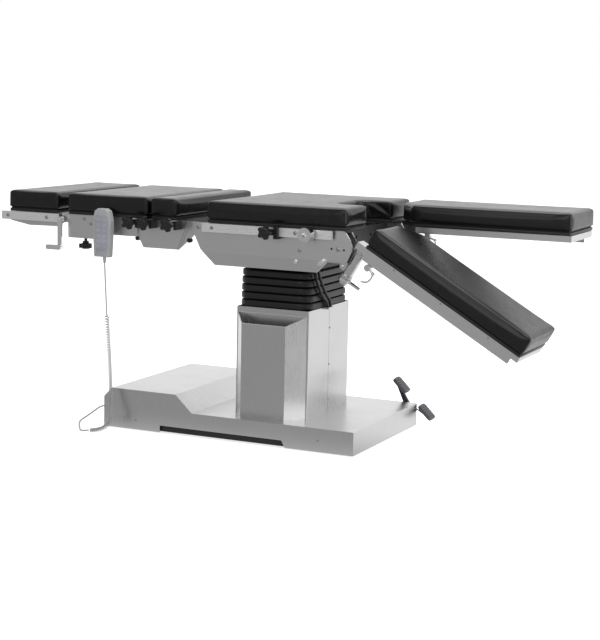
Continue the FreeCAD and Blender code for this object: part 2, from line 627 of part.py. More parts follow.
def seat_side(label, side):
    """Bent side plate of the seat with its inner ear, web, leg fold pin and back hinge pin."""
    piece = Piece(label)
    foot_z = "seat_plate_low + crease_rise"
    out = [(PLATE_OUT, FRAME_TOP), (PLATE_OUT, foot_z), (f"{PLATE_OUT} - crease_in", "seat_plate_low"),
           (f"{PLATE_IN} - crease_in", "seat_plate_low"), (PLATE_IN, foot_z), (PLATE_IN, FRAME_TOP)]
    section = [(at_side(side, y), z) for y, z in out]
    plate_end = "(fold_x + 45)"
    piece.pad("YZ", "-back_hinge_x - 22", plate_end, section)
    low, high = span(side, "spread_y - 60", "frame_width/2 + 10")
    head_corner = [
        ("-back_hinge_x - 40", "seat_plate_low - 10"),
        ("-back_hinge_x + 57", "seat_plate_low - 10"),
        ("-back_hinge_x + 57", "seat_plate_low"),
        ("-back_hinge_x + 7", "seat_plate_low + 51"),
        ("-back_hinge_x - 20", "side_hinge_z - 14"),
        ("-back_hinge_x - 40", "side_hinge_z - 14"),
    ]
    foot_corner = [
        ("fold_x - 75", "seat_plate_low - 10"),
        ("fold_x - 75", "seat_plate_low"),
        ("fold_x - 38", "seat_plate_low + 36"),
        ("fold_x + 28", "seat_plate_low + 34"),
        ("fold_x + 46", "fold_z - 5"),
        ("fold_x + 46", "seat_plate_low - 10"),
    ]
    top_corner = [
        ("fold_x + 46", "fold_z + 12"),
        ("fold_x + 38", "fold_z + 32"),
        ("fold_x + 24", "fold_z + 52"),
        ("fold_x + 16", f"{FRAME_TOP} + 5"),
        ("fold_x + 46", f"{FRAME_TOP} + 5"),
    ]
    piece.cut("XZ", low, high, head_corner)
    piece.cut("XZ", low, high, foot_corner)
    piece.cut("XZ", low, high, top_corner)
    ear_low, ear_high = span(side, "spread_y - sleeve_radius - 8", "spread_y - sleeve_radius - 2")
    ear = [
        ("fold_x - 68", "fold_z - 34"),
        ("fold_x + 30", "fold_z - 34"),
        ("fold_x + 44", "fold_z - 8"),
        ("fold_x + 44", "fold_z + 14"),
        ("fold_x + 24", "fold_z + 50"),
        ("fold_x - 68", "fold_z + 50"),
    ]
    piece.pad("XZ", ear_low, ear_high, ear)
    web_low, web_high = span(side, "spread_y - sleeve_radius - 8", PLATE_OUT)
    piece.pad("XZ", web_low, web_high,
              box("fold_x - 68", "fold_x - 62", "fold_z - 34", "fold_z + 50"))
    pin_low, pin_high = span(side, "spread_y - sleeve_radius - 8", PLATE_OUT)
    piece.rod("Y", ("fold_x", "fold_z"), "fold_pin_radius", pin_low, pin_high)
    pin_low, pin_high = span(side, f"{INNER_IN} - 6", PLATE_OUT)
    piece.rod("Y", ("-back_hinge_x", "side_hinge_z"), "hinge_pin_radius", pin_low, pin_high)
    return piece


def seat_cross_frame():
    """Members between the seat's side plates, with the yoke of the side tilt."""
    piece = Piece("seat_cross_frame")
    top = FRAME_TOP
    beam_y = "(tilt_ear_at + tilt_ear_thick/2 + 36)"
    head = "(-back_hinge_x + 25)"
    foot = "(seat_foot_end - cutout_depth + 48)"
    ear_in = "(spread_y - sleeve_radius - 8)"
    piece.pad("XY", f"{top} - 8", top,
              box(head, "seat_foot_end - cutout_depth - 6", f"-{beam_y} - 8", f"{beam_y} + 8"))
    for name, side in SIDES:
        low, high = span(side, beam_y, f"{beam_y} + 8")
        piece.pad("XZ", low, high, box(head, foot, f"{top} - 40", f"{top} - 7"))
    inner = f"({INNER_IN} - 10)"
    piece.pad("YZ", head, f"{head} + 6",
              box(f"-{inner}", inner, "tilt_z - 10", f"{top} - 2"))
    piece.pad("YZ", foot, f"{foot} + 6",
              box(f"-{ear_in}", ear_in, "fold_z - 10", f"{top} - 6"),
              ("circle", "-60", "fold_z + 22", "6"), ("circle", "60", "fold_z + 22", "6"))
    for name, side in SIDES:
        piece.pad("YZ", head, f"{head} + 40",
                  [(at_side(side, f"{inner} - 1"), f"{top} - 8"),
                   (at_side(side, PLATE_IN), f"{top} - 8"),
                   (at_side(side, PLATE_IN), top),
                   (at_side(side, f"{inner} - 1"), top)])
    yoke = [
        ("-46", f"{top} - 7"), ("46", f"{top} - 7"),
        ("tilt_pin_radius + 8", "tilt_z"), ("-tilt_pin_radius - 8", "tilt_z"),
    ]
    for end in (-1, 1):
        low, high = span(end, "tilt_ear_at - tilt_ear_thick/2", "tilt_ear_at + tilt_ear_thick/2")
        piece.pad("YZ", low, high, yoke)
        piece.rod("X", ("0", "tilt_z"), "tilt_pin_radius + 8", low, high)
        piece.bore("X", ("0", "tilt_z"), "tilt_pin_radius + pin_clearance", low, high)
    return piece


def rail_set(label, low, high, spacers, plate):
    """Side rails as separate bars, held off the plates by round spacers."""
    piece = Piece(label)
    for name, side in SIDES:
        start, stop = span(side, RAIL_IN, RAIL_OUT)
        piece.pad("XZ", start, stop, box(low, high, RAIL_LOW, FRAME_TOP))
        start, stop = span(side, plate, RAIL_IN)
        for x in spacers:
            piece.rod("Y", (x, RAIL_MID), "spacer_radius", start, stop)
    return piece


def seat_pad():
    """Seat pad with the cut-out between its two lobes."""
    half = "(pad_width/2)"
    gap = "(cutout_width/2)"
    inner = "(seat_foot_end - cutout_depth)"

    def outline(inset):
        return [
            (f"-seat_head_end + {inset}", f"-{half} + {inset}"),
            (f"seat_foot_end - {inset}", f"-{half} + {inset}"),
            (f"seat_foot_end - {inset}", f"-{gap} - {inset}"),
            (f"{inner} - {inset}", f"-{gap} - {inset}"),
            (f"{inner} - {inset}", f"{gap} + {inset}"),
            (f"seat_foot_end - {inset}", f"{gap} + {inset}"),
            (f"seat_foot_end - {inset}", f"{half} - {inset}"),
            (f"-seat_head_end + {inset}", f"{half} - {inset}"),
        ]

    points = outline("0")
    return pad_solid("seat_pad", points, outline("board_inset"), points[3:5])


def leg_pad(label, side):
    """Leg pad with its inner corner at the hinge end cut off."""
    half = "(pad_width/2)"
    end = "(leg_pad_start + leg_pad_long)"

    def outline(inset):
        points = [
            (f"leg_pad_start + {inset}", f"{half} - {inset}"),
            (f"{end} - {inset}", f"{half} - {inset}"),
            (f"{end} - {inset}", f"leg_gap/2 + {inset}"),
            (f"leg_pad_start + leg_cut_long + {inset}/2", f"leg_gap/2 + {inset}"),
            (f"leg_pad_start + {inset}", f"leg_gap/2 + leg_cut_wide + {inset}/2"),
        ]
        return [(x, at_side(side, y)) for x, y in points]

    return pad_solid(label, outline("0"), outline("board_inset"))


def leg_frame(label, side):
    """Leg section frame: tray with a deep outer side under the board, and the spread spindle."""
    piece = Piece(label)
    start = "(leg_pad_start + 9)"
    end = "(leg_pad_start + leg_pad_long - board_inset)"
    low = f"({FRAME_TOP} - leg_frame_deep)"

    def outline(inset):
        points = [
            (f"{start} + {inset}", f"{PLATE_OUT} - {inset}"),
            (f"{end} - {inset}", f"{PLATE_OUT} - {inset}"),
            (f"{end} - {inset}", f"leg_gap/2 + 14 + {inset}"),
            (f"{start} + leg_cut_long + {inset}", f"leg_gap/2 + 14 + {inset}"),
            (f"{start} + {inset}", f"leg_gap/2 + leg_cut_wide + 16 + {inset}"),
        ]
        return [(x, at_side(side, y)) for x, y in points]

    piece.pad("XY", low, FRAME_TOP, outline("0"))
    piece.cut("XY", low, f"{FRAME_TOP} - leg_frame_sheet", outline("leg_frame_sheet"))
    shallow = [
        (f"{start} - 1", "leg_gap/2"), (f"{end} + 1", "leg_gap/2"),
        (f"{end} + 1", f"{PLATE_OUT} + 1"), (f"{end} - 23", f"{PLATE_OUT} + 1"),
        (f"{end} - 23", f"{PLATE_OUT} - leg_frame_sheet"),
        (f"{start} - 1", f"{PLATE_OUT} - leg_frame_sheet"),
    ]
    piece.cut("XY", low, f"{FRAME_TOP} - leg_frame_shallow",
              [(x, at_side(side, y)) for x, y in shallow])
    bead_low, bead_high = span(side, f"{PLATE_OUT} - 1", f"{PLATE_OUT} + 2")
    piece.pad("XZ", bead_low, bead_high,
              box(f"{start} + 20", end, f"{FRAME_TOP} - 14", FRAME_TOP))
    tab_low, tab_high = span(side, "hook_y - 15", "hook_y - 10")
    piece.pad("XZ", tab_low, tab_high,
              box(f"{HOOK_X} - 9", f"{HOOK_X} + 9", f"{HOOK_Z} - 7", "sleeve_top + 1"))
    pin_low, pin_high = span(side, "hook_y - 15", "hook_y + 9")
    piece.rod("Y", (HOOK_X, HOOK_Z), "4", pin_low, pin_high)
    carrier = [
        ("spread_x - spindle_radius - 8", at_side(side, "spread_y - 22")),
        ("spread_x + 70", at_side(side, "spread_y - 40")),
        ("spread_x + 70", at_side(side, "spread_y + 20")),
        ("spread_x - spindle_radius - 8", at_side(side, "spread_y + 20")),
    ]
    piece.pad("XY", "sleeve_top + 0.5", f"{FRAME_TOP} - leg_frame_sheet + 0.5", carrier)
    piece.rod("Z", ("spread_x", at_side(side, "spread_y")), "spindle_radius",
              "sleeve_low - 18", "sleeve_top + 2")
    piece.turn("Z", ("spread_x", at_side(side, "spread_y")), [
        ("0", "sleeve_low - 24"), ("spindle_radius + 3", "sleeve_low - 22"),
        ("spindle_radius + 3", "sleeve_low - 16"), ("0", "sleeve_low - 16"),
    ])
    return piece


def leg_hinge(label, side):
    """Leg hinge: arm on the fold pin, carrying the spread sleeve and a lock lug."""
    piece = Piece(label)
    centre = ("spread_x", at_side(side, "spread_y"))
    piece.turn("Z", centre, [
        ("spindle_radius + pin_clearance", "sleeve_low"), ("sleeve_radius + 2", "sleeve_low"),
        ("sleeve_radius + 2", "sleeve_low + 10"), ("sleeve_radius", "sleeve_low + 12"),
        ("sleeve_radius", "sleeve_top - 14"), ("sleeve_radius + 2", "sleeve_top - 12"),
        ("sleeve_radius + 2", "sleeve_top"), ("spindle_radius + pin_clearance", "sleeve_top"),
    ])
    low, high = span(side, "spread_y - arm_thick/2", "spread_y + arm_thick/2")
    arm = [
        ("fold_x - 3", "fold_z - fold_pin_radius - 9"),
        ("spread_x - sleeve_radius + 4", "fold_z - 34"),
        ("spread_x - sleeve_radius + 4", "fold_z + 28"),
        ("fold_x - 3", "fold_z + fold_pin_radius + 9"),
    ]
    piece.pad("XZ", low, high, arm)
    piece.rod("Y", ("fold_x", "fold_z"), "fold_pin_radius + 10", low, high)
    piece.bore("Y", ("fold_x", "fold_z"), "fold_pin_radius + pin_clearance", low, high)
    lug_low, lug_high = span(side, "spread_y - 8", "spread_y + 8")
    lug = ("spread_x - sleeve_radius - 8", "fold_z - 42")
    piece.pad("XZ", lug_low, lug_high,
              box("spread_x - sleeve_radius - 10", "spread_x - sleeve_radius + 3",
                  "fold_z - 52", "fold_z - 30"))
    piece.rod("Y", lug, "11", lug_low, lug_high)
    piece.bore("Y", lug, "4", lug_low, lug_high)
    return piece


def leg_lever(label, side):
    """Flat clamp lever on a collar under the spread sleeve."""
    piece = Piece(label)
    low, high = "sleeve_low - 13", "sleeve_low - 1"
    centre = ("spread_x", at_side(side, "spread_y"))
    piece.rod("Z", centre, "sleeve_radius + 3", low, high)
    piece.pad("XY", f"{low} + 3", f"{high} - 3", [
        ("spread_x", at_side(side, "spread_y - 9")),
        ("spread_x + 58", at_side(side, "spread_y - 6")),
        ("spread_x + 58", at_side(side, "spread_y + 6")),
        ("spread_x", at_side(side, "spread_y + 9")),
    ])
    piece.bore("Z", centre, "spindle_radius + pin_clearance", low, high)
    return piece


def leg_hook(label, side):
    """Release hook: round black boss, steel arm with a ball and a curved finger hook."""
    boss_x, boss_z = size(HOOK_X), size(HOOK_Z)
    middle = side * size("hook_y")
    across = FreeCAD.Vector(0, 1, 0)
    start = FreeCAD.Vector(boss_x, middle - 9, boss_z)
    boss = Part.makeCylinder(11, 18, start, across)
    ball_at = (boss_x + 24, middle, boss_z - 8)
    ball = Part.makeSphere(6, FreeCAD.Vector(*ball_at))
    arm = wire_tube([(boss_x, middle, boss_z), ball_at], 3.5)
    hook = wire_tube([
        ball_at, (boss_x + 27, middle, boss_z - 24),
        (boss_x + 21, middle, boss_z - 42), (boss_x + 2, middle, boss_z - 50),
    ], 3)
    hole = Part.makeCylinder(4 + size("pin_clearance"), 18, start, across)
    return solid_piece(label, boss.fuse([ball, arm, hook]).cut(hole).removeSplitter())


def star_knob(label, x, z, tip):
    """Five-lobed star knob on a threaded stem, its axis across the table."""
    piece = Piece(label)
    front = f"-{KNOB_BACK} - knob_thick"
    piece.turn("Y", (x, z), [
        ("0", front), ("knob_radius*0.55", front),
        ("knob_radius*0.78", f"{front} + knob_thick*0.25"),
        ("knob_radius*0.78", f"{front} + knob_thick*0.8"),
        ("knob_radius*0.45", f"-{KNOB_BACK}"), ("knob_radius*0.45", f"-{KNOB_BACK} + 7"),
        ("knob_stem_radius", f"-{KNOB_BACK} + 7"), ("knob_stem_radius", tip), ("0", tip),
    ])
    piece.ring("XZ", (x, z), "knob_radius*0.3", 5, "knob_radius*0.7",
               f"{front} + knob_thick*0.15", f"{front} + knob_thick*0.85")
    return piece


def stem_knob():
    """Star knob on an upright screw under the upper back."""
    piece = Piece("stem_knob")
    low = "(side_hinge_z - 99)"
    high = f"({low} + knob_thick)"
    centre = ("-stem_knob_x", "-stem_knob_y")
    piece.turn("Z", centre, [
        ("0", low), ("knob_radius*0.55", low), ("knob_radius*0.78", f"{low} + knob_thick*0.25"),
        ("knob_radius*0.78", f"{low} + knob_thick*0.8"), ("knob_radius*0.45", high),
        ("knob_radius*0.45", f"{high} + 6"), ("knob_stem_radius", f"{high} + 6"),
        ("knob_stem_radius", "side_hinge_z - 42"), ("0", "side_hinge_z - 42"),
    ])
    piece.ring("XY", centre, "knob_radius*0.3", 5, "knob_radius*0.7",
               f"{low} + knob_thick*0.15", f"{low} + knob_thick*0.85")
    return piece


def back_frame():
    """Lower back frame: deep side plates with hinge lugs, slanted ribs and a cross tube."""
    piece = Piece("back_frame")
    left = "(-back_pad_end - back_pad_long - 64)"
    right = "(-back_hinge_x - 29)"
    outline = [
        (left, FRAME_TOP), (left, "side_hinge_z - 31"), (f"{left} + 27", "side_hinge_z - 79"),
        ("-back_pad_end - 2", "side_hinge_z - 79"), (right, "side_hinge_z - 37"),
        ("-back_hinge_x - 8", "side_hinge_z - hinge_lug_radius"),
        ("-back_hinge_x", "side_hinge_z - hinge_lug_radius"),
        ("-back_hinge_x", FRAME_TOP),
    ]
    for name, side in SIDES:
        low, high = span(side, INNER_IN, INNER_OUT)
        piece.pad("XZ", low, high, outline)
        piece.rod("Y", ("-back_hinge_x", "side_hinge_z"), "hinge_lug_radius", low, high)
        rib_low, rib_high = span(side, f"{INNER_OUT} - 1", f"{INNER_OUT} + 3")
        for shift in ("0", "9"):
            piece.pad("XZ", rib_low, rib_high, [
                (f"-back_pad_end - 1 - {shift}", "side_hinge_z - 78"),
                (f"-back_pad_end + 2 - {shift}", "side_hinge_z - 78"),
                (f"{right} - 4 - {shift}", f"{FRAME_TOP} - 4"),
                (f"{right} - 7 - {shift}", f"{FRAME_TOP} - 4"),
            ])
        piece.bore("Y", ("-back_hinge_x", "side_hinge_z"), "hinge_pin_radius + pin_clearance",
                   low, high)
    for x in (f"{left} + 40", "-back_pad_end - 20"):
        piece.pad("YZ", x, f"{x} + 8",
                  box(f"-{INNER_IN} - 1", f"{INNER_IN} + 1", f"{FRAME_TOP} - 40", f"{FRAME_TOP} - 4"))
    piece.pad("XY", f"{FRAME_TOP} - 5", FRAME_TOP,
              box(f"{left} + 10", "-back_pad_end + 4", f"-{INNER_IN} - 1", f"{INNER_IN} + 1"))
    for name, side in SIDES:
        slot_low, slot_high = span(side, "prong_at - prong_wide/2 - 0.3", "prong_at + prong_wide/2 + 0.3")
        for x in (f"{left} + 40", "-back_pad_end - 20"):
            piece.cut("XZ", slot_low, slot_high,
                      box(f"{x} - 1", f"{x} + 9", f"{PRONG_LOW} - 0.3", f"{PRONG_LOW} + prong_high + 0.3"))
    return piece


def upper_back_frame():
    """Upper back frame: side plates, prongs that slide into the lower back, head hinge lugs."""
    piece = Piece("upper_back_frame")
    head = "(-back_pad_end - back_pad_long - pad_seam - upper_pad_long - 6)"
    step = f"({head} + 119)"
    foot = "(-back_pad_end - back_pad_long - 57)"
    outline = [
        (head, FRAME_TOP), (head, "side_hinge_z - 60"), (f"{head} + 4", "side_hinge_z - 62"),
        (f"{step} - 4", "side_hinge_z - 62"), (step, "side_hinge_z - 44"),
        (foot, "side_hinge_z - 44"), (foot, FRAME_TOP),
    ]
    lug = [
        (f"{head} + 1", FRAME_TOP), (f"{head} + 1", "side_hinge_z - 12"),
        ("-head_hinge_x", "side_hinge_z - 12"), ("-head_hinge_x", "side_hinge_z + 12"),
        ("-head_hinge_x + 9", FRAME_TOP),
    ]
    for name, side in SIDES:
        low, high = span(side, PLATE_IN, PLATE_OUT)
        piece.pad("XZ", low, high, outline)
        piece.pad("XZ", low, high, lug)
        piece.rod("Y", ("-head_hinge_x", "side_hinge_z"), "12", low, high)
        low, high = span(side, f"{INNER_IN} - 6", PLATE_OUT)
        piece.rod("Y", ("-head_hinge_x", "side_hinge_z"), "hinge_pin_radius", low, high)
        low, high = span(side, "prong_at - prong_wide/2", "prong_at + prong_wide/2")
        piece.pad("XZ", low, high,
                  box(f"{step} - 20", f"{foot} + prong_long", PRONG_LOW, f"{PRONG_LOW} + prong_high"))
    for x in (f"{head} + 40", f"{step} - 10"):
        piece.pad("YZ", x, f"{x} + 8",
                  box(f"-{PLATE_IN} - 1", f"{PLATE_IN} + 1", f"{FRAME_TOP} - 40", f"{FRAME_TOP} - 2"))
    piece.pad("XY", f"{FRAME_TOP} - 3", FRAME_TOP,
              box(f"{head} + 30", f"{step} + 10", f"-{PLATE_IN} - 1", f"{PLATE_IN} + 1"))
    block_low, block_high = span(NEAR, "stem_knob_y - 14", PLATE_IN)
    piece.pad("XZ", block_low, block_high,
              box("-stem_knob_x - 12", "-stem_knob_x + 12", "side_hinge_z - 60", "side_hinge_z - 40"))
    piece.bore("Z", ("-stem_knob_x", "-stem_knob_y"), "knob_stem_radius + pin_clearance",
               "side_hinge_z - 61", "side_hinge_z - 39")
    return piece


def head_frame():
    """Head section frame: side plates with hinge lugs, cross strips and a deck."""
    piece = Piece("head_frame")
    outline = [
        ("-head_hinge_x - 13", FRAME_TOP), ("-head_hinge_x - 13", "side_hinge_z - 28"),
        ("-head_hinge_x - 143", "side_hinge_z - 30"), ("-head_hinge_x - 219", "side_hinge_z - 17"),
        ("-head_hinge_x - 224", FRAME_TOP),
    ]
    lug = [
        ("-head_hinge_x - 14", "side_hinge_z + 10"), ("-head_hinge_x - 14", "side_hinge_z - 20"),
        ("-head_hinge_x", "side_hinge_z - 12"), ("-head_hinge_x", "side_hinge_z + 12"),
    ]
    for name, side in SIDES:
        low, high = span(side, INNER_IN, INNER_OUT)
        piece.pad("XZ", low, high, outline)
        piece.pad("XZ", low, high, lug)
        piece.rod("Y", ("-head_hinge_x", "side_hinge_z"), "12", low, high)
        piece.bore("Y", ("-head_hinge_x", "side_hinge_z"), "hinge_pin_radius + pin_clearance",
                   low, high)
    for x in ("-head_hinge_x - 40", "-head_hinge_x - 200"):
        piece.pad("YZ", x, f"{x} + 6",
                  box(f"-{INNER_IN} - 1", f"{INNER_IN} + 1", f"{FRAME_TOP} - 20", f"{FRAME_TOP} - 2"))
    piece.pad("XY", f"{FRAME_TOP} - 3", FRAME_TOP,
              box("-head_hinge_x - 190", "-head_hinge_x - 30", f"-{INNER_IN} - 1", f"{INNER_IN} + 1"))
    return piece


def head_rails():
    """Rails of the head section; the near one ends in a lug with the release lever's pin."""
    piece = rail_set("head_rails", "-head_hinge_x - 238", "-head_hinge_x - 12",
                     ("-head_hinge_x - 212", "-head_hinge_x - 56"), INNER_OUT)
    low, high = span(NEAR, RAIL_IN, RAIL_OUT)
    piece.pad("XZ", low, high, box("-head_hinge_x - 13", "-head_hinge_x",
                                   "side_hinge_z - lever_wide/2", "side_hinge_z + lever_wide/2"))
    piece.rod("Y", ("-head_hinge_x", "side_hinge_z"), "lever_wide/2", low, high)
    low, high = span(NEAR, f"{RAIL_OUT} - 1", f"{LEVER_OUT} + 1")
    piece.rod("Y", ("-head_hinge_x", "side_hinge_z"), "4", low, high)
    return piece


def tube_path(points):
    """Straight runs joined by tangent arcs; each arc as large as its two runs allow."""
    corners = [FreeCAD.Vector(*point) for point in points]
    edges = []
    radii = []
    last = corners[0]
    for before, corner, after in zip(corners, corners[1:], corners[2:]):
        back = before - corner
        ahead = after - corner
        half_turn = (math.pi - back.getAngle(ahead)) / 2
        cut_back = 0.45 * min(back.Length, ahead.Length)
        radius = cut_back / math.tan(half_turn)
        radii.append(radius)
        start = corner + back.normalize() * cut_back
        stop = corner + ahead.normalize() * cut_back
        inward = (start + stop) * 0.5 - corner
        centre_gap = radius / math.cos(half_turn)
        middle = corner + inward.normalize() * (centre_gap - radius)
        edges.append(Part.LineSegment(last, start).toShape())
        edges.append(Part.Arc(start, middle, stop).toShape())
        last = stop
    edges.append(Part.LineSegment(last, corners[-1]).toShape())
    return Part.Wire(edges), radii


def wire_tube(points, radius):
    """A round bar along straight runs and arcs, with its volume compared with its length."""
    path, radii = tube_path(points)
    first = path.Edges[0]
    profile = Part.Wire(Part.makeCircle(radius, first.valueAt(first.FirstParameter),
                                        first.tangentAt(first.FirstParameter)))
    tube = path.makePipeShell([profile], True, False)
    expected = math.pi * radius ** 2 * path.Length
    if abs(tube.Volume / expected - 1) > 0.02:
        raise ValueError(f"tube volume {tube.Volume:.0f} is not {expected:.0f}")
    return tube


def cord(label, points, radius):
    """A free cord's tube, with its bend radii printed."""
    path, radii = tube_path(points)
    print(label, "length", round(path.Length), "radii", [round(r) for r in radii])
    return solid_piece(label, wire_tube(points, radius))


def castor_carriage():
    """Drop-down carriage of the four castors: two cross strips and two long bars."""
    piece = Piece("castor_carriage")
    top = "carriage_z + carriage_thick"
    for x in ("-castor_x_head", "castor_x_foot"):
        piece.pad("XY", "carriage_z", top,
                  box(f"{x} - 25", f"{x} + 25", "-castor_y - 30", "castor_y + 30"))
    for y in ("-castor_y", "castor_y"):
        piece.pad("XY", "carriage_z", top,
                  box("-castor_x_head", "castor_x_foot", f"{y} - 12", f"{y} + 12"))
    for y in ("-castor_y", "castor_y"):
        for x in ("-castor_x_head", "castor_x_foot"):
            piece.bore("Z", (x, y), "6 + pin_clearance", "carriage_z", top)
        for x in ("-guide_x", "guide_x"):
            piece.bore("Z", (x, y), "guide_radius + pin_clearance", "carriage_z", top)
    return piece


def castor(number, x, y):
    """One swivelling castor: fork with its stem and axle, and the wheel."""
    fork = Piece(f"castor_fork_{number}")
    axle_x = f"({x} - wheel_trail)"
    axle_z = "(wheel_radius + wheel_clear)"
    fork.rod("Z", (x, y), "6", "carriage_z - 4", "carriage_z + carriage_thick + 2")
    fork.rod("Z", (x, y), "17", "carriage_z - 5", "carriage_z - 0.3")
    for low in ("-wheel_wide/2 - 4", "wheel_wide/2 + 1"):
        start, stop = f"{y} + {low}", f"{y} + {low} + 3"
        fork.pad("XZ", start, stop, [
            (f"{x} - 10", "carriage_z - 4.5"), (f"{axle_x} - 8", axle_z),
            (f"{axle_x} + 8", axle_z), (f"{x} + 10", "carriage_z - 4.5"),
        ])
        fork.rod("Y", (axle_x, axle_z), "8", start, stop)
    fork.rod("Y", (axle_x, axle_z), "axle_radius", f"{y} - wheel_wide/2 - 4", f"{y} + wheel_wide/2 + 4")
    wheel = Piece(f"castor_wheel_{number}")
    half = "wheel_wide/2"
    wheel.turn("Y", (axle_x, axle_z), [
        ("axle_radius + pin_clearance", f"{y} - {half}"), ("wheel_radius - 2", f"{y} - {half}"),
        ("wheel_radius", f"{y} - {half} + 3"), ("wheel_radius", f"{y} + {half} - 3"),
        ("wheel_radius - 2", f"{y} + {half}"), ("axle_radius + pin_clearance", f"{y} + {half}"),
    ])


def pedal_point(centre, along, up):
    """A point of a sloping brake pad, given along its slope and up from its tread."""
    x, z = centre
    return (f"{x} + ({along})*cos(pedal_slope) + ({up})*sin(pedal_slope)",
            f"{z} - ({along})*sin(pedal_slope) + ({up})*cos(pedal_slope)")


PEDALS = (("pedal_pivot_x - 28", "pedal_pivot_z + 75"), ("pedal_pivot_x + 67", "pedal_pivot_z - 11"))


def brake_rocker():
    """Brake shaft with its crank and the two arms of the pedals."""
    piece = Piece("brake_rocker")
    pivot = ("pedal_pivot_x", "pedal_pivot_z")
    inner = f"({HALF_BASE} - chassis_gap - chassis_wide)"
    arm_low, arm_high = "pedal_y - 16", "pedal_y - 4"
    piece.rod("Y", pivot, "pedal_shaft_radius", f"{inner} - 73", arm_high)
    piece.rod("Y", pivot, "pedal_shaft_radius + 6", arm_low, arm_high)
    for centre in PEDALS:
        piece.pad("XZ", arm_low, arm_high, [
            ("pedal_pivot_x - 9", "pedal_pivot_z - 6"), ("pedal_pivot_x + 6", "pedal_pivot_z + 9"),
            pedal_point(centre, "14", "-pedal_thick"), pedal_point(centre, "-14", "-pedal_thick"),
        ])
    piece.pad("XZ", f"{inner} - 56", f"{inner} - 26",
              box("pedal_pivot_x - 26", "pedal_pivot_x", "pedal_pivot_z - 5", "pedal_pivot_z + 5"))
    return piece


def brake_pads():
    """Two ribbed brake pads on the rocker's arms."""
    piece = Piece("brake_pads")
    half = "(pedal_long/2)"
    for centre in PEDALS:
        piece.pad("XZ", "pedal_y - pedal_wide/2", "pedal_y + pedal_wide/2", [
            pedal_point(centre, f"-{half}", "-pedal_thick"),
            pedal_point(centre, half, "-pedal_thick"),
            pedal_point(centre, half, "0"),
            pedal_point(centre, f"-{half}", "0"),
        ])
    thick = size("pedal_thick")
    piece.round("12", lambda edge: not parallel(edge, "Y") and abs(edge.Length - thick) < 0.01)
    return piece


CLAMPS = (("452.5", "13"), ("399.5", "12.5"), ("308", "13"))


def back_clamps():
    """Three clamp bars on the lower back's side plate, each with a block for its knob."""
    piece = Piece("back_clamps")
    for x, shift in CLAMPS:
        low, high = span(NEAR, INNER_OUT, f"{RAIL_OUT} + 14")
        piece.pad("XZ", low, high,
                  box(f"-{x} + {shift} - clamp_wide/2", f"-{x} + {shift} + clamp_wide/2",
                      f"{RAIL_MID} - clamp_high/2", f"{RAIL_MID} + clamp_high/2"))
        low, high = span(NEAR, RAIL_OUT, f"{RAIL_OUT} + 20")
        piece.pad("XZ", low, high,
                  box(f"-{x} - 8", f"-{x} + {shift}", f"{KNOB_Z} - 8", f"{KNOB_Z} + 8"))
        piece.bore("Y", (f"-{x}", KNOB_Z), "knob_stem_radius + pin_clearance", low, high)
    return piece


def rail_clamp(piece, low, high):
    """The C-shaped jaw that slides on a side rail, standing clear of the board above."""
    gap = 0.3
    inner, outer = RAIL_IN, RAIL_OUT
    section = [
        (f"-{outer} - {gap}", f"{RAIL_LOW} - {gap}"),
        (f"-{inner} + {gap}", f"{RAIL_LOW} - {gap}"),
        (f"-{inner} + {gap}", f"{RAIL_LOW} + 3.5"),
        (f"-{inner} + 5", f"{RAIL_LOW} + 3.5"),
        (f"-{inner} + 5", f"{RAIL_LOW} - 8"),
        (f"-{outer} - 12", f"{RAIL_LOW} - 8"),
        (f"-{outer} - 12", f"{FRAME_TOP} + 5"),
        (f"-{outer} + 5", f"{FRAME_TOP} + 5"),
        (f"-{outer} + 5", f"{FRAME_TOP} + {gap}"),
        (f"-{outer} - {gap}", f"{FRAME_TOP} + {gap}"),
    ]
    piece.pad("YZ", low, high, section)


def seat_clamp():
    """Accessory clamp on the near seat rail."""
    piece = Piece("seat_clamp")
    rail_clamp(piece, "60", "74")
    low, high = span(NEAR, f"{RAIL_OUT} + 0.4", f"{RAIL_OUT} + 22")
    piece.pad("XZ", low, high, box("35", "61", f"{RAIL_MID} - 9", f"{RAIL_MID} + 9"))
    piece.bore("Y", ("44", RAIL_MID), "knob_stem_radius + pin_clearance", low, high)
    return piece


def rail_socket():
    """Plated socket clamp on the near seat rail, open towards the side."""
    piece = Piece("rail_socket")
    rail_clamp(piece, "socket_x - 9", "socket_x + 9")
    low, high = span(NEAR, f"{RAIL_OUT} + 11", f"{RAIL_OUT} + 40")
    piece.rod("Y", ("socket_x", RAIL_MID), "socket_radius", low, high)
    low, high = span(NEAR, f"{RAIL_OUT} + 16", f"{RAIL_OUT} + 40")
    piece.bore("Y", ("socket_x", RAIL_MID), "7", low, high)
    return piece


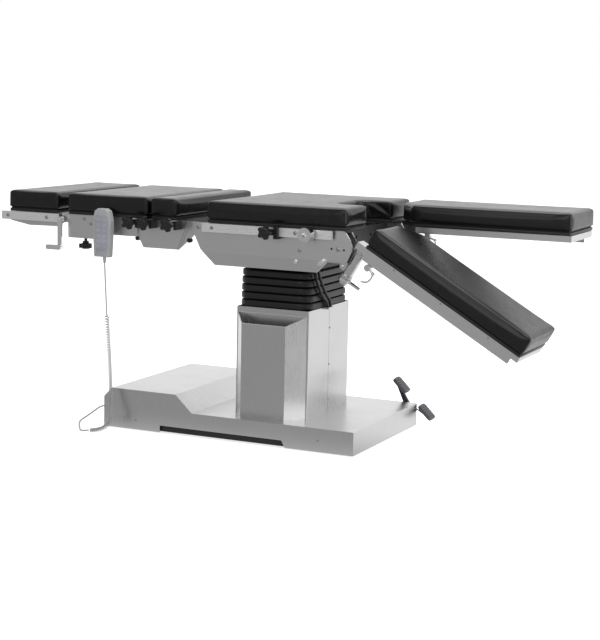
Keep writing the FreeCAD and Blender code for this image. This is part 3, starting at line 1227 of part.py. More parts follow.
def handset():
    """Hanging hand control with its cord relief and the lip that hooks on the bracket."""
    piece = Piece("handset")
    low, high = span(NEAR, "handset_y - handset_thick/2", "handset_y + handset_thick/2")
    half = "(handset_wide/2)"
    top = "(handset_low + handset_high)"
    outline = [
        (f"-handset_x - {half} + 6", "handset_low"), (f"-handset_x + {half} - 6", "handset_low"),
        (f"-handset_x + {half} - 3", "handset_low + handset_high*0.3"),
        (f"-handset_x + {half}", "handset_low + handset_high*0.75"),
        (f"-handset_x + {half} - 8", f"{top} - 8"), (f"-handset_x + {half} - 20", top),
        (f"-handset_x - {half} + 20", top), (f"-handset_x - {half} + 8", f"{top} - 8"),
        (f"-handset_x - {half}", "handset_low + handset_high*0.75"),
        (f"-handset_x - {half} + 3", "handset_low + handset_high*0.3"),
    ]
    piece.pad("XZ", low, high, outline)
    front = size(low)
    piece.round("5", lambda edge: abs(edge.BoundBox.YMax - front) < 0.01)
    piece.turn("Z", ("-handset_x + 6", "-handset_y"), [
        ("0", "handset_low - 20"), ("lead_radius + 1.5", "handset_low - 20"),
        ("lead_radius + 4", "handset_low + 2"), ("0", "handset_low + 2"),
    ])
    back = "(handset_y - handset_thick/2)"
    low, high = span(NEAR, f"{back} - 8", f"{back} + 1")
    piece.pad("XZ", low, high, box("-handset_x - 12", "-handset_x + 12", "hook_top + 0.3", "hook_top + 6"))
    low, high = span(NEAR, f"{back} - 8", f"{back} - 4.5")
    piece.pad("XZ", low, high, box("-handset_x - 12", "-handset_x + 12", "hook_top - 16", "hook_top + 6"))
    return piece


def handset_hook():
    """Bent bracket on the upper back's side plate that the handset hangs on."""
    piece = Piece("handset_hook")
    back = "(handset_y - handset_thick/2)"
    low, high = span(NEAR, f"{back} - 4", f"{back} - 0.3")
    piece.pad("XZ", low, high, box("-handset_x - 14", "-handset_x + 14", "hook_top - 44", "hook_top"))
    low, high = span(NEAR, PLATE_OUT, f"{back} - 1")
    piece.pad("XZ", low, high, box("-handset_x - 14", "-handset_x + 14", "hook_top - 44", "hook_top - 40"))
    low, high = span(NEAR, PLATE_OUT, f"{PLATE_OUT} + 3")
    piece.pad("XZ", low, high, box("-handset_x - 14", "-handset_x + 14", "hook_top - 44", "hook_top - 4"))
    return piece


def head_lever():
    """Release lever at the head hinge: an upright strap with a flat rounded paddle."""
    piece = Piece("head_lever")
    centre = ("-head_hinge_x", "side_hinge_z")
    half = "(lever_wide/2)"
    low, high = span(NEAR, LEVER_IN, LEVER_OUT)
    piece.pad("XZ", low, high, box(f"-head_hinge_x - {half}", f"-head_hinge_x + {half}",
                                   "side_hinge_z - lever_long", "side_hinge_z"))
    piece.rod("Y", centre, half, low, high)
    piece.bore("Y", centre, "4 + pin_clearance", low, high)
    low, high = span(NEAR, f"{LEVER_IN} - 4", f"{LEVER_OUT} + 8")
    foot = "(side_hinge_z - lever_long)"
    paddle = [("-head_hinge_x - 50", f"{foot} - {half}"), ("-head_hinge_x + 8", f"{foot} - {half}"),
              ("-head_hinge_x + 8", f"{foot} + {half}"), ("-head_hinge_x - 50", f"{foot} + {half}")]
    piece.pad("XZ", low, high, paddle)
    corners = [(size(x), size(z)) for x, z in paddle]
    piece.round("6", lambda edge: near_corner(edge, "Y", corners))
    return piece


def cord_gland():
    """Round gland where the cord enters the head end of the base."""
    piece = Piece("cord_gland")
    start = "-base_head_end"
    piece.rod("X", ("-gland_y", "gland_z"), "9", f"{start} - 3", start)
    piece.rod("X", ("-gland_y", "gland_z"), "5.5", f"{start} - 14", f"{start} - 2")
    return piece


base_cover()
base_chassis()
base_feet()
column_cover("column_cover_near", NEAR)
column_cover("column_cover_far", FAR)
column_pocket()
mast("column_outer_mast", "mast_long", "mast_wide", "chassis_low + 10", "mast_top")
inner_mast()
bellows()
cord_gland()
brake_rocker()
brake_pads()
castor_carriage()
places = [(x, y) for x in ("-castor_x_head", "castor_x_foot") for y in ("-castor_y", "castor_y")]
for number, (x, y) in enumerate(places, start=1):
    castor(number, x, y)
tilt_cross()
for name, side in SIDES:
    seat_side(f"seat_side_{name}", side)
seat_cross_frame()
seat_pad()
rail_set("seat_rails", "-seat_head_end - 13", "fold_x - 14", ("-166", "-20", "130"), PLATE_OUT)
back_frame()
plain_pad("back_pad", "-back_pad_end - back_pad_long", "-back_pad_end")
back_clamps()
upper_back_frame()
upper_end = "(-back_pad_end - back_pad_long - pad_seam)"
plain_pad("upper_back_pad", f"{upper_end} - upper_pad_long", upper_end)
head_frame()
head_rails()
head_end = f"({upper_end} - upper_pad_long - head_pad_gap)"
plain_pad("head_pad", f"{head_end} - head_pad_long", head_end)
head_lever()
LEG = {"leg_hinge": leg_hinge, "leg_frame": leg_frame, "leg_pad": leg_pad,
       "leg_lever": leg_lever, "leg_hook": leg_hook}
for name, side in SIDES:
    for kind, build in LEG.items():
        build(f"{kind}_{name}", side)
for number, (x, shift) in enumerate(CLAMPS, start=1):
    star_knob(f"back_knob_{number}", f"-{x}", KNOB_Z, f"-{RAIL_OUT} - 1")
seat_clamp()
star_knob("seat_clamp_knob", "44", RAIL_MID, f"-{RAIL_OUT} - 0.8")
stem_knob()
rail_socket()
handset()
handset_hook()

# Cords and hoses. Both hoses hang in front of the bellows and are drawn with it.
hang_y = -size("handset_y")
lead_x = -size("handset_x") + 6
curl_top = (lead_x + 9, hang_y, 384)
curl_floor = size("curl_radius") + 0.2
curl_end = (lead_x - 3.8, hang_y - 83, curl_floor)
floor = size("lead_radius") + 0.2
gland = (-size("base_head_end") - 14.6, -size("gland_y"), size("gland_z"))
cord("handset_lead", [(lead_x, hang_y, size("handset_low") - 20.3), curl_top],
     size("lead_radius"))
cord("handset_curl", [
    (lead_x + 9, hang_y, 383.7), (lead_x + 16, hang_y, 290), (lead_x + 24, hang_y - 2, 190),
    (lead_x + 36, hang_y - 14, 95), (lead_x + 54, hang_y - 46, curl_floor), curl_end,
], size("curl_radius"))
cord("handset_tail", [
    (lead_x - 7, hang_y - 85, curl_floor), (lead_x - 34, hang_y - 92, 4),
    (lead_x - 62, hang_y - 54, floor), (lead_x - 98, hang_y - 2, floor),
    (lead_x - 130, hang_y + 52, floor), (lead_x - 124, hang_y + 88, 12),
    (lead_x - 98, hang_y + 99, 34), (lead_x - 70, hang_y + 100, 54), gland,
], size("lead_radius"))
hose_x = size("column_long") / 2 + size("hose_radius") + 3
hose_top = size("lift_plate_z") - 2.2
hose_low = size("column_top") + 2.2
hose_drop = hose_top - hose_low
cord("hose_upper", [
    (hose_x, -118, hose_top), (hose_x, -112, hose_low + 0.83*hose_drop),
    (hose_x, -80, hose_low + 0.54*hose_drop), (hose_x, -46, hose_low + 0.28*hose_drop),
    (hose_x, -18, hose_low + 0.16*hose_drop), (hose_x, -12, hose_low),
], size("hose_radius"))
cord("hose_lower", [
    (hose_x, -140, hose_top), (hose_x, -136, hose_low + 0.79*hose_drop),
    (hose_x, -104, hose_low + 0.47*hose_drop), (hose_x, -72, hose_low + 0.24*hose_drop),
    (hose_x, -42, hose_low + 0.15*hose_drop), (hose_x, -34, hose_low),
], size("hose_radius"))

doc.recompute()
fold_point = FreeCAD.Vector(size("fold_x"), 0, size("fold_z"))
drop = FreeCAD.Rotation(FreeCAD.Vector(0, 1, 0), size("leg_drop"))
for piece in PIECES:
    if piece.Label.startswith("leg_") and piece.Label.endswith("_near"):
        piece.Placement = FreeCAD.Placement(FreeCAD.Vector(), drop, fold_point).multiply(piece.Placement)
doc.recompute()

for thing in doc.Objects:
    if "Invalid" in thing.State or "Error" in thing.State:
        raise ValueError(f"{thing.Label}: {thing.State}")
os.makedirs("parts", exist_ok=True)
print(len(PIECES), "pieces")
for piece in PIECES:
    shape = piece.Shape
    if shape.isNull() or not shape.isValid():
        raise ValueError(f"{piece.Label}: bad shape")
    shape.exportStep(f"parts/{piece.Label}.step")
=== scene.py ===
"""Operating table: finishes, cushions, bellows, cord and small trim over the CAD frame.

Metres. The origin is on the floor under the column, +X towards the leg sections, and
the side with the hand control is -Y.
"""
import json
import math

import bmesh
import bpy
from mathutils import Matrix, Vector


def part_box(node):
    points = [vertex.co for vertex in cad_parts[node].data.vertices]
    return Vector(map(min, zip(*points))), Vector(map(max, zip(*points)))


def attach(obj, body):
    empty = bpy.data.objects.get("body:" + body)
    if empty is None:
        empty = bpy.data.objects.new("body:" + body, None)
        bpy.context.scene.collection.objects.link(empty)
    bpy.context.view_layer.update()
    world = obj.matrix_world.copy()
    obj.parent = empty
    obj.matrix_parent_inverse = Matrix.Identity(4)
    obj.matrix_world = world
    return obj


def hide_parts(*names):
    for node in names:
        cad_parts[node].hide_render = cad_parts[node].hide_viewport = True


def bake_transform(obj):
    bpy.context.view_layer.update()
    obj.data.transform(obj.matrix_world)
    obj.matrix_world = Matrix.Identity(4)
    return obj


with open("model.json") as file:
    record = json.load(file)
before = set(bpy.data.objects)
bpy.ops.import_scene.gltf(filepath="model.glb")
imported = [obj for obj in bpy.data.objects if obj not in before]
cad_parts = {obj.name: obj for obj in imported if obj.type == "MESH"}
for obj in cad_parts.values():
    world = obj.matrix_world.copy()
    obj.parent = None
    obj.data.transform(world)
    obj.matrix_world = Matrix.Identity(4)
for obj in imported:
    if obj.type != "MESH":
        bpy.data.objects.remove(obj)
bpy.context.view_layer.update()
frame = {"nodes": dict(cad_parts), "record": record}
NODES = frame["nodes"]

NEAR = -1
FAR = 1
LEG_DROP = math.radians(30.5)
FOLD_AXIS = Vector((0.270, 0, 0.650))
PAD_TOP = 0.780
FOAM = 0.058
BOARD = 0.012
BOARD_INSET = 0.003

CAMERA_PLACE = Vector((2.3106, -4.8954, 1.1768))
CAMERA_YAW = math.radians(25.04)
CAMERA_PITCH = math.radians(8.43)
CAMERA_ROLL = math.radians(-1.15)
LENS = 91.94


# Shader maths

class Value:
    """A shader socket that turns arithmetic into Math nodes."""

    def __init__(self, finish, socket):
        self.finish = finish
        self.socket = socket

    def maths(self, operation, *values):
        return self.finish.node("ShaderNodeMath", {"operation": operation},
                                dict(enumerate(values)))

    def __add__(self, other):
        return self.maths("ADD", self, other)

    def __mul__(self, other):
        return self.maths("MULTIPLY", self, other)


class Finish:
    """One material: a Principled shader and the nodes that vary it over the surface."""

    def __init__(self, name, **sockets):
        self.material = bpy.data.materials.new(name)
        self.material.use_nodes = True
        self.tree = self.material.node_tree
        self.shader = self.tree.nodes["Principled BSDF"]
        for socket, value in sockets.items():
            self.set(socket.replace("_", " "), value)

    def set(self, socket, value):
        target = self.shader.inputs[socket]
        if isinstance(value, Value):
            self.tree.links.new(value.socket, target)
        else:
            target.default_value = value

    def node(self, kind, settings, inputs, output=0):
        """A node with its settings made first, then its inputs set or linked."""
        node = self.tree.nodes.new(kind)
        for key, value in settings.items():
            if key == "stops":
                ramp = node.color_ramp
                while len(ramp.elements) < len(value):
                    ramp.elements.new(1)
                for element, (place, tone) in zip(ramp.elements, value):
                    element.position = place
                    element.color = (tone, tone, tone, 1)
            else:
                setattr(node, key, value)
        for key, value in inputs.items():
            socket = node.inputs[key]
            if isinstance(value, Value):
                self.tree.links.new(value.socket, socket)
            else:
                socket.default_value = value
        return Value(self, node.outputs[output])

    def place(self, scale=(1, 1, 1)):
        """Object coordinates, stretched by scale."""
        spot = self.node("ShaderNodeTexCoord", {}, {}, "Object")
        return self.node("ShaderNodeMapping", {}, {"Vector": spot, "Scale": scale})

    def noise(self, scale, detail=3.0, stretch=(1, 1, 1)):
        return self.node("ShaderNodeTexNoise", {},
                         {"Vector": self.place(stretch), "Scale": scale, "Detail": detail})

    def ramp(self, value, *stops):
        return self.node("ShaderNodeValToRGB", {"stops": stops}, {"Fac": value})

    def tint(self, mask, first, second):
        """A colour that goes from first to second as mask goes from 0 to 1."""
        return self.node("ShaderNodeMix", {"data_type": "RGBA"},
                         {0: mask, 6: (*first, 1), 7: (*second, 1)}, 2)

    def bump(self, height, depth, strength=1.0):
        self.set("Normal", self.node("ShaderNodeBump", {},
                                     {"Height": height, "Distance": depth, "Strength": strength}))


BRUSH_GRAIN = 420
LEATHER_GRAIN = 620


def brushed(name, tone, roughness, stretch, contrast, metal=1.0):
    """Brushed stainless steel; the grain runs along the axis that stretch leaves small."""
    finish = Finish(name, Metallic=metal)
    streaks = finish.noise(BRUSH_GRAIN, 2.0, stretch)
    cloud = finish.noise(3.2, 3.0)
    smudge = finish.ramp(finish.noise(9.0, 4.0), (0.42, 0.0), (0.7, 1.0))
    shade = streaks * 0.5 + cloud * 0.5
    dark = tuple(c * (1 - contrast) for c in tone)
    light = tuple(min(1.0, c * (1 + contrast)) for c in tone)
    finish.set("Base Color", finish.tint(shade, dark, light))
    finish.set("Roughness", streaks * 0.14 + smudge * 0.06 + (roughness - 0.09))
    finish.bump(streaks, 0.00003, 0.5)
    return finish.material


def polished(name, tone, roughness):
    """Plated or polished metal with faint handling marks."""
    finish = Finish(name, Metallic=1.0)
    marks = finish.ramp(finish.noise(60, 4.0), (0.45, 0.0), (0.75, 1.0))
    finish.set("Base Color", finish.tint(marks, tone, tuple(c * 0.9 for c in tone)))
    finish.set("Roughness", marks * 0.12 + roughness)
    return finish.material


def moulded(name, tone, roughness, grain=900, depth=0.00004):
    """Moulded plastic or painted metal with a fine texture and light wear."""
    finish = Finish(name)
    texture = finish.noise(grain, 3.0)
    patches = finish.ramp(finish.noise(14, 4.0), (0.4, 0.0), (0.7, 1.0))
    finish.set("Base Color", finish.tint(patches, tone, tuple(c * 1.25 + 0.002 for c in tone)))
    finish.set("Roughness", patches * 0.08 + texture * 0.06 + roughness)
    finish.bump(texture, depth, 0.6)
    return finish.material


def coated_cloth(name, tone, roughness):
    """Smooth black coated upholstery cloth with a fine leather grain."""
    finish = Finish(name, Specular_IOR_Level=0.42)
    cells = finish.node("ShaderNodeTexVoronoi", {"feature": "DISTANCE_TO_EDGE"},
                        {"Vector": finish.place(), "Scale": LEATHER_GRAIN})
    pores = finish.ramp(cells, (0.0, 0.0), (0.16, 1.0))
    soft = finish.noise(7.0, 3.0)
    scuffs = finish.ramp(finish.noise(26, 5.0, (1, 1, 3)), (0.5, 0.0), (0.8, 1.0))
    finish.set("Base Color", finish.tint(scuffs, tone, tuple(c * 1.5 + 0.002 for c in tone)))
    finish.set("Roughness", soft * 0.1 + scuffs * 0.08 + (roughness - 0.05))
    finish.bump(pores * 0.7 + soft * 0.3, 0.00004, 0.4)
    return finish.material


STEEL = (0.60, 0.60, 0.605)
finishes = {
    "steel_frame": brushed("brushed frame steel", (0.64, 0.64, 0.645), 0.34, (0.03, 1, 1), 0.07),
    "steel_rail": brushed("bright rail steel", (0.80, 0.80, 0.805), 0.3, (0.03, 1, 1), 0.06, metal=0.7),
    "steel_cover": brushed("brushed cover steel", STEEL, 0.3, (1, 1, 0.03), 0.06),
    "cushion": coated_cloth("black coated cloth", (0.0035, 0.0035, 0.004), 0.28),
    "bellows_rubber": moulded("bellows rubber", (0.004, 0.004, 0.004), 0.36, 500, 0.00006),
    "black_steel": moulded("black painted steel", (0.012, 0.012, 0.013), 0.4, 700),
    "bright_steel": polished("turned steel", (0.66, 0.66, 0.665), 0.2),
    "chrome": polished("chrome plate", (0.8, 0.8, 0.81), 0.1),
    "black_plastic": moulded("black moulded plastic", (0.005, 0.005, 0.0055), 0.3, 900),
    "black_clamp": moulded("black clamp paint", (0.008, 0.008, 0.0085), 0.38, 800),
    "pedal_grey": moulded("grey pedal rubber", (0.085, 0.085, 0.10), 0.55, 700, 0.00008),
    "handset_grey": moulded("light grey handset plastic", (0.36, 0.36, 0.37), 0.42, 1200, 0.00003),
    "cord_grey": moulded("pale grey cord jacket", (0.42, 0.42, 0.425), 0.45, 900, 0.00002),
    "foot_rubber": moulded("foot rubber", (0.02, 0.02, 0.02), 0.6, 700),
    "wheel_tyre": moulded("castor tyre", (0.03, 0.03, 0.03), 0.55, 700),
    "screw": polished("screw steel", (0.42, 0.42, 0.42), 0.3),
    "hole": moulded("shaded hole", (0.01, 0.01, 0.01), 0.6, 700),
    "keypad": moulded("bluish keypad film", (0.30, 0.305, 0.35), 0.38, 1200, 0.00002),
    "key": moulded("key print", (0.345, 0.35, 0.39), 0.4, 1200, 0.00002),
    "seam": coated_cloth("cushion seam", (0.002, 0.002, 0.002), 0.6),
    # Bright steel for the hex bolt and foot bracket; also the painted highlight strips on plate and pocket
    # edges.
    "bright_edge": polished("bright steel and painted highlights", (0.85, 0.85, 0.86), 0.3),
}

for entry in frame["record"]["subparts"]:
    cad = NODES[entry["node"]]
    for material_slot in cad.material_slots:
        material_slot.material = finishes[entry["material_slot"]]


# Mesh helpers

NEARLY = 1e-6
RIM_SHARE = 0.25


def piece_from(bm, name, finish, body, smooth=35):
    """Turns a bmesh into a piece that rides on a body."""
    bmesh.ops.recalc_face_normals(bm, faces=bm.faces)
    mesh = bpy.data.meshes.new(name)
    bm.to_mesh(mesh)
    bm.free()
    piece = bpy.data.objects.new(name, mesh)
    bpy.context.scene.collection.objects.link(piece)
    mesh.materials.append(finishes[finish])
    mesh.shade_smooth()
    if smooth:
        mesh.set_sharp_from_angle(angle=math.radians(smooth))
    if body:
        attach(piece, body)
    return piece


def slab(bm, outline, low, high):
    """A prism over an outline of points in X and Y."""
    base = bm.faces.new([bm.verts.new((x, y, low)) for x, y in outline])
    grown = bmesh.ops.extrude_face_region(bm, geom=[base])
    top = [g for g in grown["geom"] if isinstance(g, bmesh.types.BMVert)]
    bmesh.ops.translate(bm, verts=top, vec=(0, 0, high - low))


def round_edges(bm, chosen, radius, segments=4):
    edges = [e for e in bm.edges if chosen(e)]
    bmesh.ops.bevel(bm, geom=edges, offset=radius, segments=segments, profile=0.5,
                    affect="EDGES", material=-1)


def upright(edge):
    a, b = (v.co for v in edge.verts)
    return abs(a.x - b.x) < NEARLY and abs(a.y - b.y) < NEARLY


def level_at(edge, *heights):
    a, b = (v.co for v in edge.verts)
    return any(abs(a.z - h) < NEARLY and abs(b.z - h) < NEARLY for h in heights)


def button(bm, matrix, radius, height, segments):
    """A low round head with a chamfered rim, its axis along the matrix's Z."""
    made = bmesh.ops.create_cone(bm, cap_ends=True, segments=segments, radius1=radius,
                                 radius2=radius, depth=height,
                                 matrix=matrix @ Matrix.Translation((0, 0, height / 2)))
    top = matrix @ Vector((0, 0, height))
    axis = matrix.to_3x3() @ Vector((0, 0, 1))
    rim = [e for e in bm.edges if all(v in made["verts"] for v in e.verts)
           and all(abs((v.co - top).dot(axis)) < 1e-7 for v in e.verts)]
    bmesh.ops.bevel(bm, geom=rim, offset=radius * RIM_SHARE, segments=2, profile=0.5,
                    affect="EDGES", material=-1)


def facing(place, towards):
    """A matrix at a place whose Z points towards a direction."""
    return Matrix.Translation(place) @ Vector(towards).to_track_quat("Z", "Y").to_matrix().to_4x4()


DROP = (Matrix.Translation(FOLD_AXIS) @ Matrix.Rotation(LEG_DROP, 4, "Y")
        @ Matrix.Translation(-FOLD_AXIS))


# Cushions

CORNER = 0.007
COVER_INSET = 0.0012
SEAM = 0.001
TOP_EDGE = 0.005
LOW_EDGE = 0.002
HOLLOW_RADIUS = 0.042
BOARD_GAP = 0.003
BOARD_CORNER = 0.006
BOARD_EDGE = 0.001
CORE_INSET = 0.008
CORE_HALF = 0.004
VOXEL = 0.0055
PRESSURE = 4
SWELL_FRAMES = 12
SWELL_CAP = 0.002
HELD_BAND = 0.004
SHARPEST = 0.3


def inset_outline(outline, depth):
    """The outline drawn in by a depth, for a loop of points in either direction."""
    count = len(outline)
    points = [Vector(p) for p in outline]
    area = sum(points[i].cross(points[(i + 1) % count]) for i in range(count))
    turn = 1 if area > 0 else -1
    drawn = []
    for i in range(count):
        before = (points[i] - points[i - 1]).normalized()
        after = (points[(i + 1) % count] - points[i]).normalized()
        inward = Vector((-before.y - after.y, before.x + after.x)) * turn
        reach = depth / max(SHARPEST, inward.length / 2)
        drawn.append(points[i] + inward.normalized() * reach)
    return [(p.x, p.y) for p in drawn]


def swell(piece, floor, cap):
    """Blows the pad up as cloth, holding its underside, and caps how far a point moves."""
    remesh = piece.modifiers.new("Voxels", "REMESH")
    remesh.mode = "VOXEL"
    remesh.voxel_size = VOXEL
    depsgraph = bpy.context.evaluated_depsgraph_get()
    settled = bpy.data.meshes.new_from_object(piece.evaluated_get(depsgraph))
    piece.modifiers.clear()
    piece.data = settled
    still = [v.co.copy() for v in settled.vertices]
    held = piece.vertex_groups.new(name="held")
    held.add([v.index for v in settled.vertices if v.co.z < floor + HELD_BAND], 1.0, "REPLACE")
    cloth = piece.modifiers.new("Cloth", "CLOTH")
    cloth.settings.vertex_group_mass = "held"
    cloth.settings.use_pressure = True
    cloth.settings.uniform_pressure_force = PRESSURE
    cloth.settings.quality = 3
    cloth.settings.effector_weights.gravity = 0
    cloth.point_cache.frame_start = 1
    cloth.point_cache.frame_end = SWELL_FRAMES
    scene = bpy.context.scene
    for step in range(1, SWELL_FRAMES + 1):
        scene.frame_set(step)
    depsgraph = bpy.context.evaluated_depsgraph_get()
    blown = bpy.data.meshes.new_from_object(piece.evaluated_get(depsgraph))
    piece.modifiers.clear()
    for vertex, start in zip(blown.vertices, still):
        move = vertex.co - start
        if move.length > cap:
            vertex.co = start + move * (cap / move.length)
    blown.materials.clear()
    blown.materials.append(finishes["cushion"])
    piece.data = blown
    piece.modifiers.new("Finer", "SUBSURF").render_levels = 1
    scene.frame_set(1)


def outer_corner(edge):
    return upright(edge) and edge.calc_face_angle() > 0.5


def cushion(name, node, body, outline, hollow=(), matrix=None):
    """A padded section: swollen cover, its board and the dark joint between them."""
    low = PAD_TOP - FOAM
    cover_top = PAD_TOP - COVER_INSET
    cover_low = low + SEAM

    def beside_hollow(edge):
        return upright(edge) and any((edge.verts[0].co.xy - Vector(p)).length < 0.01 for p in hollow)

    bm = bmesh.new()
    slab(bm, inset_outline(outline, COVER_INSET), cover_low, cover_top)
    if hollow:
        round_edges(bm, beside_hollow, HOLLOW_RADIUS, 8)
    round_edges(bm, outer_corner, CORNER, 3)
    round_edges(bm, lambda e: level_at(e, cover_top), TOP_EDGE, 3)
    round_edges(bm, lambda e: level_at(e, cover_low), LOW_EDGE, 2)
    cover = piece_from(bm, name, "cushion", None)
    swell(cover, low, SWELL_CAP)
    cover.data.shade_smooth()
    if matrix:
        cover.data.transform(matrix)
    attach(cover, body)
    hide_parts(node)

    board_low = low - BOARD
    board_top = low - BOARD_GAP
    bm = bmesh.new()
    slab(bm, inset_outline(outline, BOARD_INSET), board_low, board_top)
    round_edges(bm, outer_corner, BOARD_CORNER, 3)
    round_edges(bm, lambda e: level_at(e, board_low, board_top), BOARD_EDGE, 2)
    bmesh.ops.transform(bm, matrix=matrix or Matrix(), verts=bm.verts)
    piece_from(bm, f"{name}_board", "black_clamp", body)

    bm = bmesh.new()
    slab(bm, inset_outline(outline, CORE_INSET), low - CORE_HALF, low + CORE_HALF)
    bmesh.ops.transform(bm, matrix=matrix or Matrix(), verts=bm.verts)
    piece_from(bm, f"{name}_core", "seam", body)


def rectangle(node):
    low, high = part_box(node)
    return [(low.x, low.y), (high.x, low.y), (high.x, high.y), (low.x, high.y)]


def seat_outline():
    """The seat pad's outline and the two inner corners of its cut-out."""
    low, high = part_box("seat_pad")
    cut_end = high.x - 0.110
    gap = 0.102
    corners = [(cut_end, -gap), (cut_end, gap)]
    outline = [(low.x, low.y), (high.x, low.y), (high.x, -gap), *corners,
               (high.x, gap), (high.x, high.y), (low.x, high.y)]
    return outline, corners


def leg_outline(side):
    """A leg pad's outline with its slanted inner corner beside the hinge."""
    start, end = 0.343, 0.937
    inner, outer = 0.008, 0.274
    slant_long, slant_side = 0.066, 0.095
    points = [(start, outer), (end, outer), (end, inner), (start + slant_long, inner),
              (start, slant_side)]
    return [(x, y * side) for x, y in points]


def make_cushions():
    for name, node, body in (("back_cushion", "back_pad", "back"),
                             ("upper_back_cushion", "upper_back_pad", "upper_back"),
                             ("head_cushion", "head_pad", "head")):
        cushion(name, node, body, rectangle(node))
    outline, corners = seat_outline()
    cushion("seat_cushion", "seat_pad", "seat", outline, corners)
    cushion("far_leg_cushion", "leg_pad_far", "leg_far", leg_outline(FAR))
    cushion("near_leg_cushion", "leg_pad_near", "leg_near", leg_outline(NEAR), matrix=DROP)


# Column bellows

FOLD_TAPERS = (0.0, 0.0, 0.0005, 0.0015, 0.003)
FOLD_PITCH = 0.025
FOLD_DEPTH = 0.0105
BELLOWS_CORNER = 0.046
CORNER_STEPS = 8


def bellows_section(low, high):
    """Insets and heights up one side of the folds, from the casing to the lift."""
    section = [(0.016, low)]
    for fold, taper in enumerate(FOLD_TAPERS):
        start = low + FOLD_PITCH * fold
        groove = taper + FOLD_DEPTH
        section += [(groove, start + 0.0003), (taper + 0.0012, start + 0.0012),
                    (taper, start + 0.0030), (taper, start + 0.0195),
                    (taper + 0.0022, start + 0.0222), (groove, start + 0.0235)]
    return section + [(0.014, low + 0.1265), (0.013, high - 0.004), (0.013, high)]


def make_bellows():
    """Soft folds swept round the column, stretched between the casing and the lift."""
    low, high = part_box("bellows")
    bm = bmesh.new()
    rings = []
    for inset, height in bellows_section(low.z, high.z):
        radius = BELLOWS_CORNER - inset * 0.8
        ring = []
        for sx, sy, begin in ((1, 1, 0), (-1, 1, 90), (-1, -1, 180), (1, -1, 270)):
            centre = Vector((sx * (high.x - inset - radius), sy * (high.y - inset - radius)))
            for k in range(CORNER_STEPS + 1):
                turn = math.radians(begin + 90 * k / CORNER_STEPS)
                at = centre + radius * Vector((math.cos(turn), math.sin(turn)))
                ring.append(bm.verts.new((at.x, at.y, height)))
        rings.append([bm.edges.new((ring[i], ring[(i + 1) % len(ring)])) for i in range(len(ring))])
    for under, over in zip(rings, rings[1:]):
        bmesh.ops.bridge_loops(bm, edges=under + over)
    bellows = piece_from(bm, "bellows_skin", "bellows_rubber", None, smooth=80)
    wall = bellows.modifiers.new("Wall", "SOLIDIFY")
    wall.thickness = 0.003
    wall.offset = -1
    finer = bellows.modifiers.new("Finer", "SUBSURF")
    finer.levels = 1
    finer.render_levels = 2
    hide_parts("bellows")
    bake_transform(bellows)


# Cord and hoses

def smooth_route(name, points, radius=0.0):
    """A cord's line as a NURBS curve with the points as its control points."""
    curve = bpy.data.curves.new(name, "CURVE")
    curve.dimensions = "3D"
    spline = curve.splines.new("NURBS")
    spline.points.add(len(points) - 1)
    for target, point in zip(spline.points, points):
        target.co = (*point, 1)
    spline.order_u = 3
    spline.use_endpoint_u = True
    spline.resolution_u = 12
    curve.resolution_u = 12
    curve.bevel_depth = radius
    curve.bevel_resolution = 5
    curve.use_fill_caps = True
    cord = bpy.data.objects.new(name, curve)
    bpy.context.scene.collection.objects.link(cord)
    return cord


def line_of(points):
    """Points read along the smooth route, with their spacing as Blender gives it."""
    route = smooth_route("route", points)
    bpy.context.view_layer.update()
    mesh = bpy.data.meshes.new_from_object(route)
    line = [v.co.copy() for v in mesh.vertices]
    bpy.data.objects.remove(route)
    bpy.data.meshes.remove(mesh)
    return line


def evenly(line, step):
    """The line walked in equal steps."""
    walked = [line[0]]
    left = step
    for a, b in zip(line, line[1:]):
        gap = (b - a).length
        done = 0.0
        while gap - done >= left:
            done += left
            walked.append(a.lerp(b, done / gap))
            left = step
        left -= gap - done
    return walked


def length_of(line):
    return sum((b - a).length for a, b in zip(line, line[1:]))


def as_mesh(cord, name, finish):
    """The curve made a mesh piece."""
    bpy.context.view_layer.update()
    mesh = bpy.data.meshes.new_from_object(cord)
    bpy.data.objects.remove(cord)
    piece = bpy.data.objects.new(name, mesh)
    bpy.context.scene.collection.objects.link(piece)
    mesh.materials.clear()
    mesh.materials.append(finishes[finish])
    mesh.shade_smooth()
    return piece


HANDSET_LEAD = [(-0.554, -0.300, 0.5577), (-0.545, -0.300, 0.384)]
HANDSET_CURL = [
    (-0.545, -0.300, 0.3837), (-0.538, -0.300, 0.290), (-0.530, -0.302, 0.190),
    (-0.518, -0.314, 0.095), (-0.500, -0.346, 0.0082), (-0.5578, -0.383, 0.0082),
]
HANDSET_TAIL = [
    (-0.561, -0.385, 0.0082), (-0.588, -0.392, 0.004), (-0.616, -0.354, 0.0027),
    (-0.652, -0.302, 0.0027), (-0.684, -0.248, 0.0027), (-0.678, -0.212, 0.012),
    (-0.652, -0.201, 0.034), (-0.624, -0.200, 0.054), (-0.5846, -0.200, 0.060),
]
LEAD_RADIUS = 0.0025
CURL_RADIUS = 0.008
CURL_WIRE = 0.0017
CURL_LOOSE = 0.0090
CURL_TIGHT = 0.0060
CURL_STEP = 0.0005


def helix(line, radius, loose, tight, step):
    """Turns of a curly cord round a line, drawn apart at its upper end by its own weight."""
    walked = evenly(line, step)
    along = (walked[1] - walked[0]).normalized()
    side = along.cross(Vector((0, 1, 0))).normalized()
    turns = []
    angle = 0.0
    for i, point in enumerate(walked[:-1]):
        along = (walked[i + 1] - point).normalized()
        side = (side - along * side.dot(along)).normalized()
        other = along.cross(side)
        turns.append(point + radius * (math.cos(angle) * side + math.sin(angle) * other))
        pitch = loose + (tight - loose) * i / len(walked)
        angle += 2 * math.pi * step / pitch
    return turns


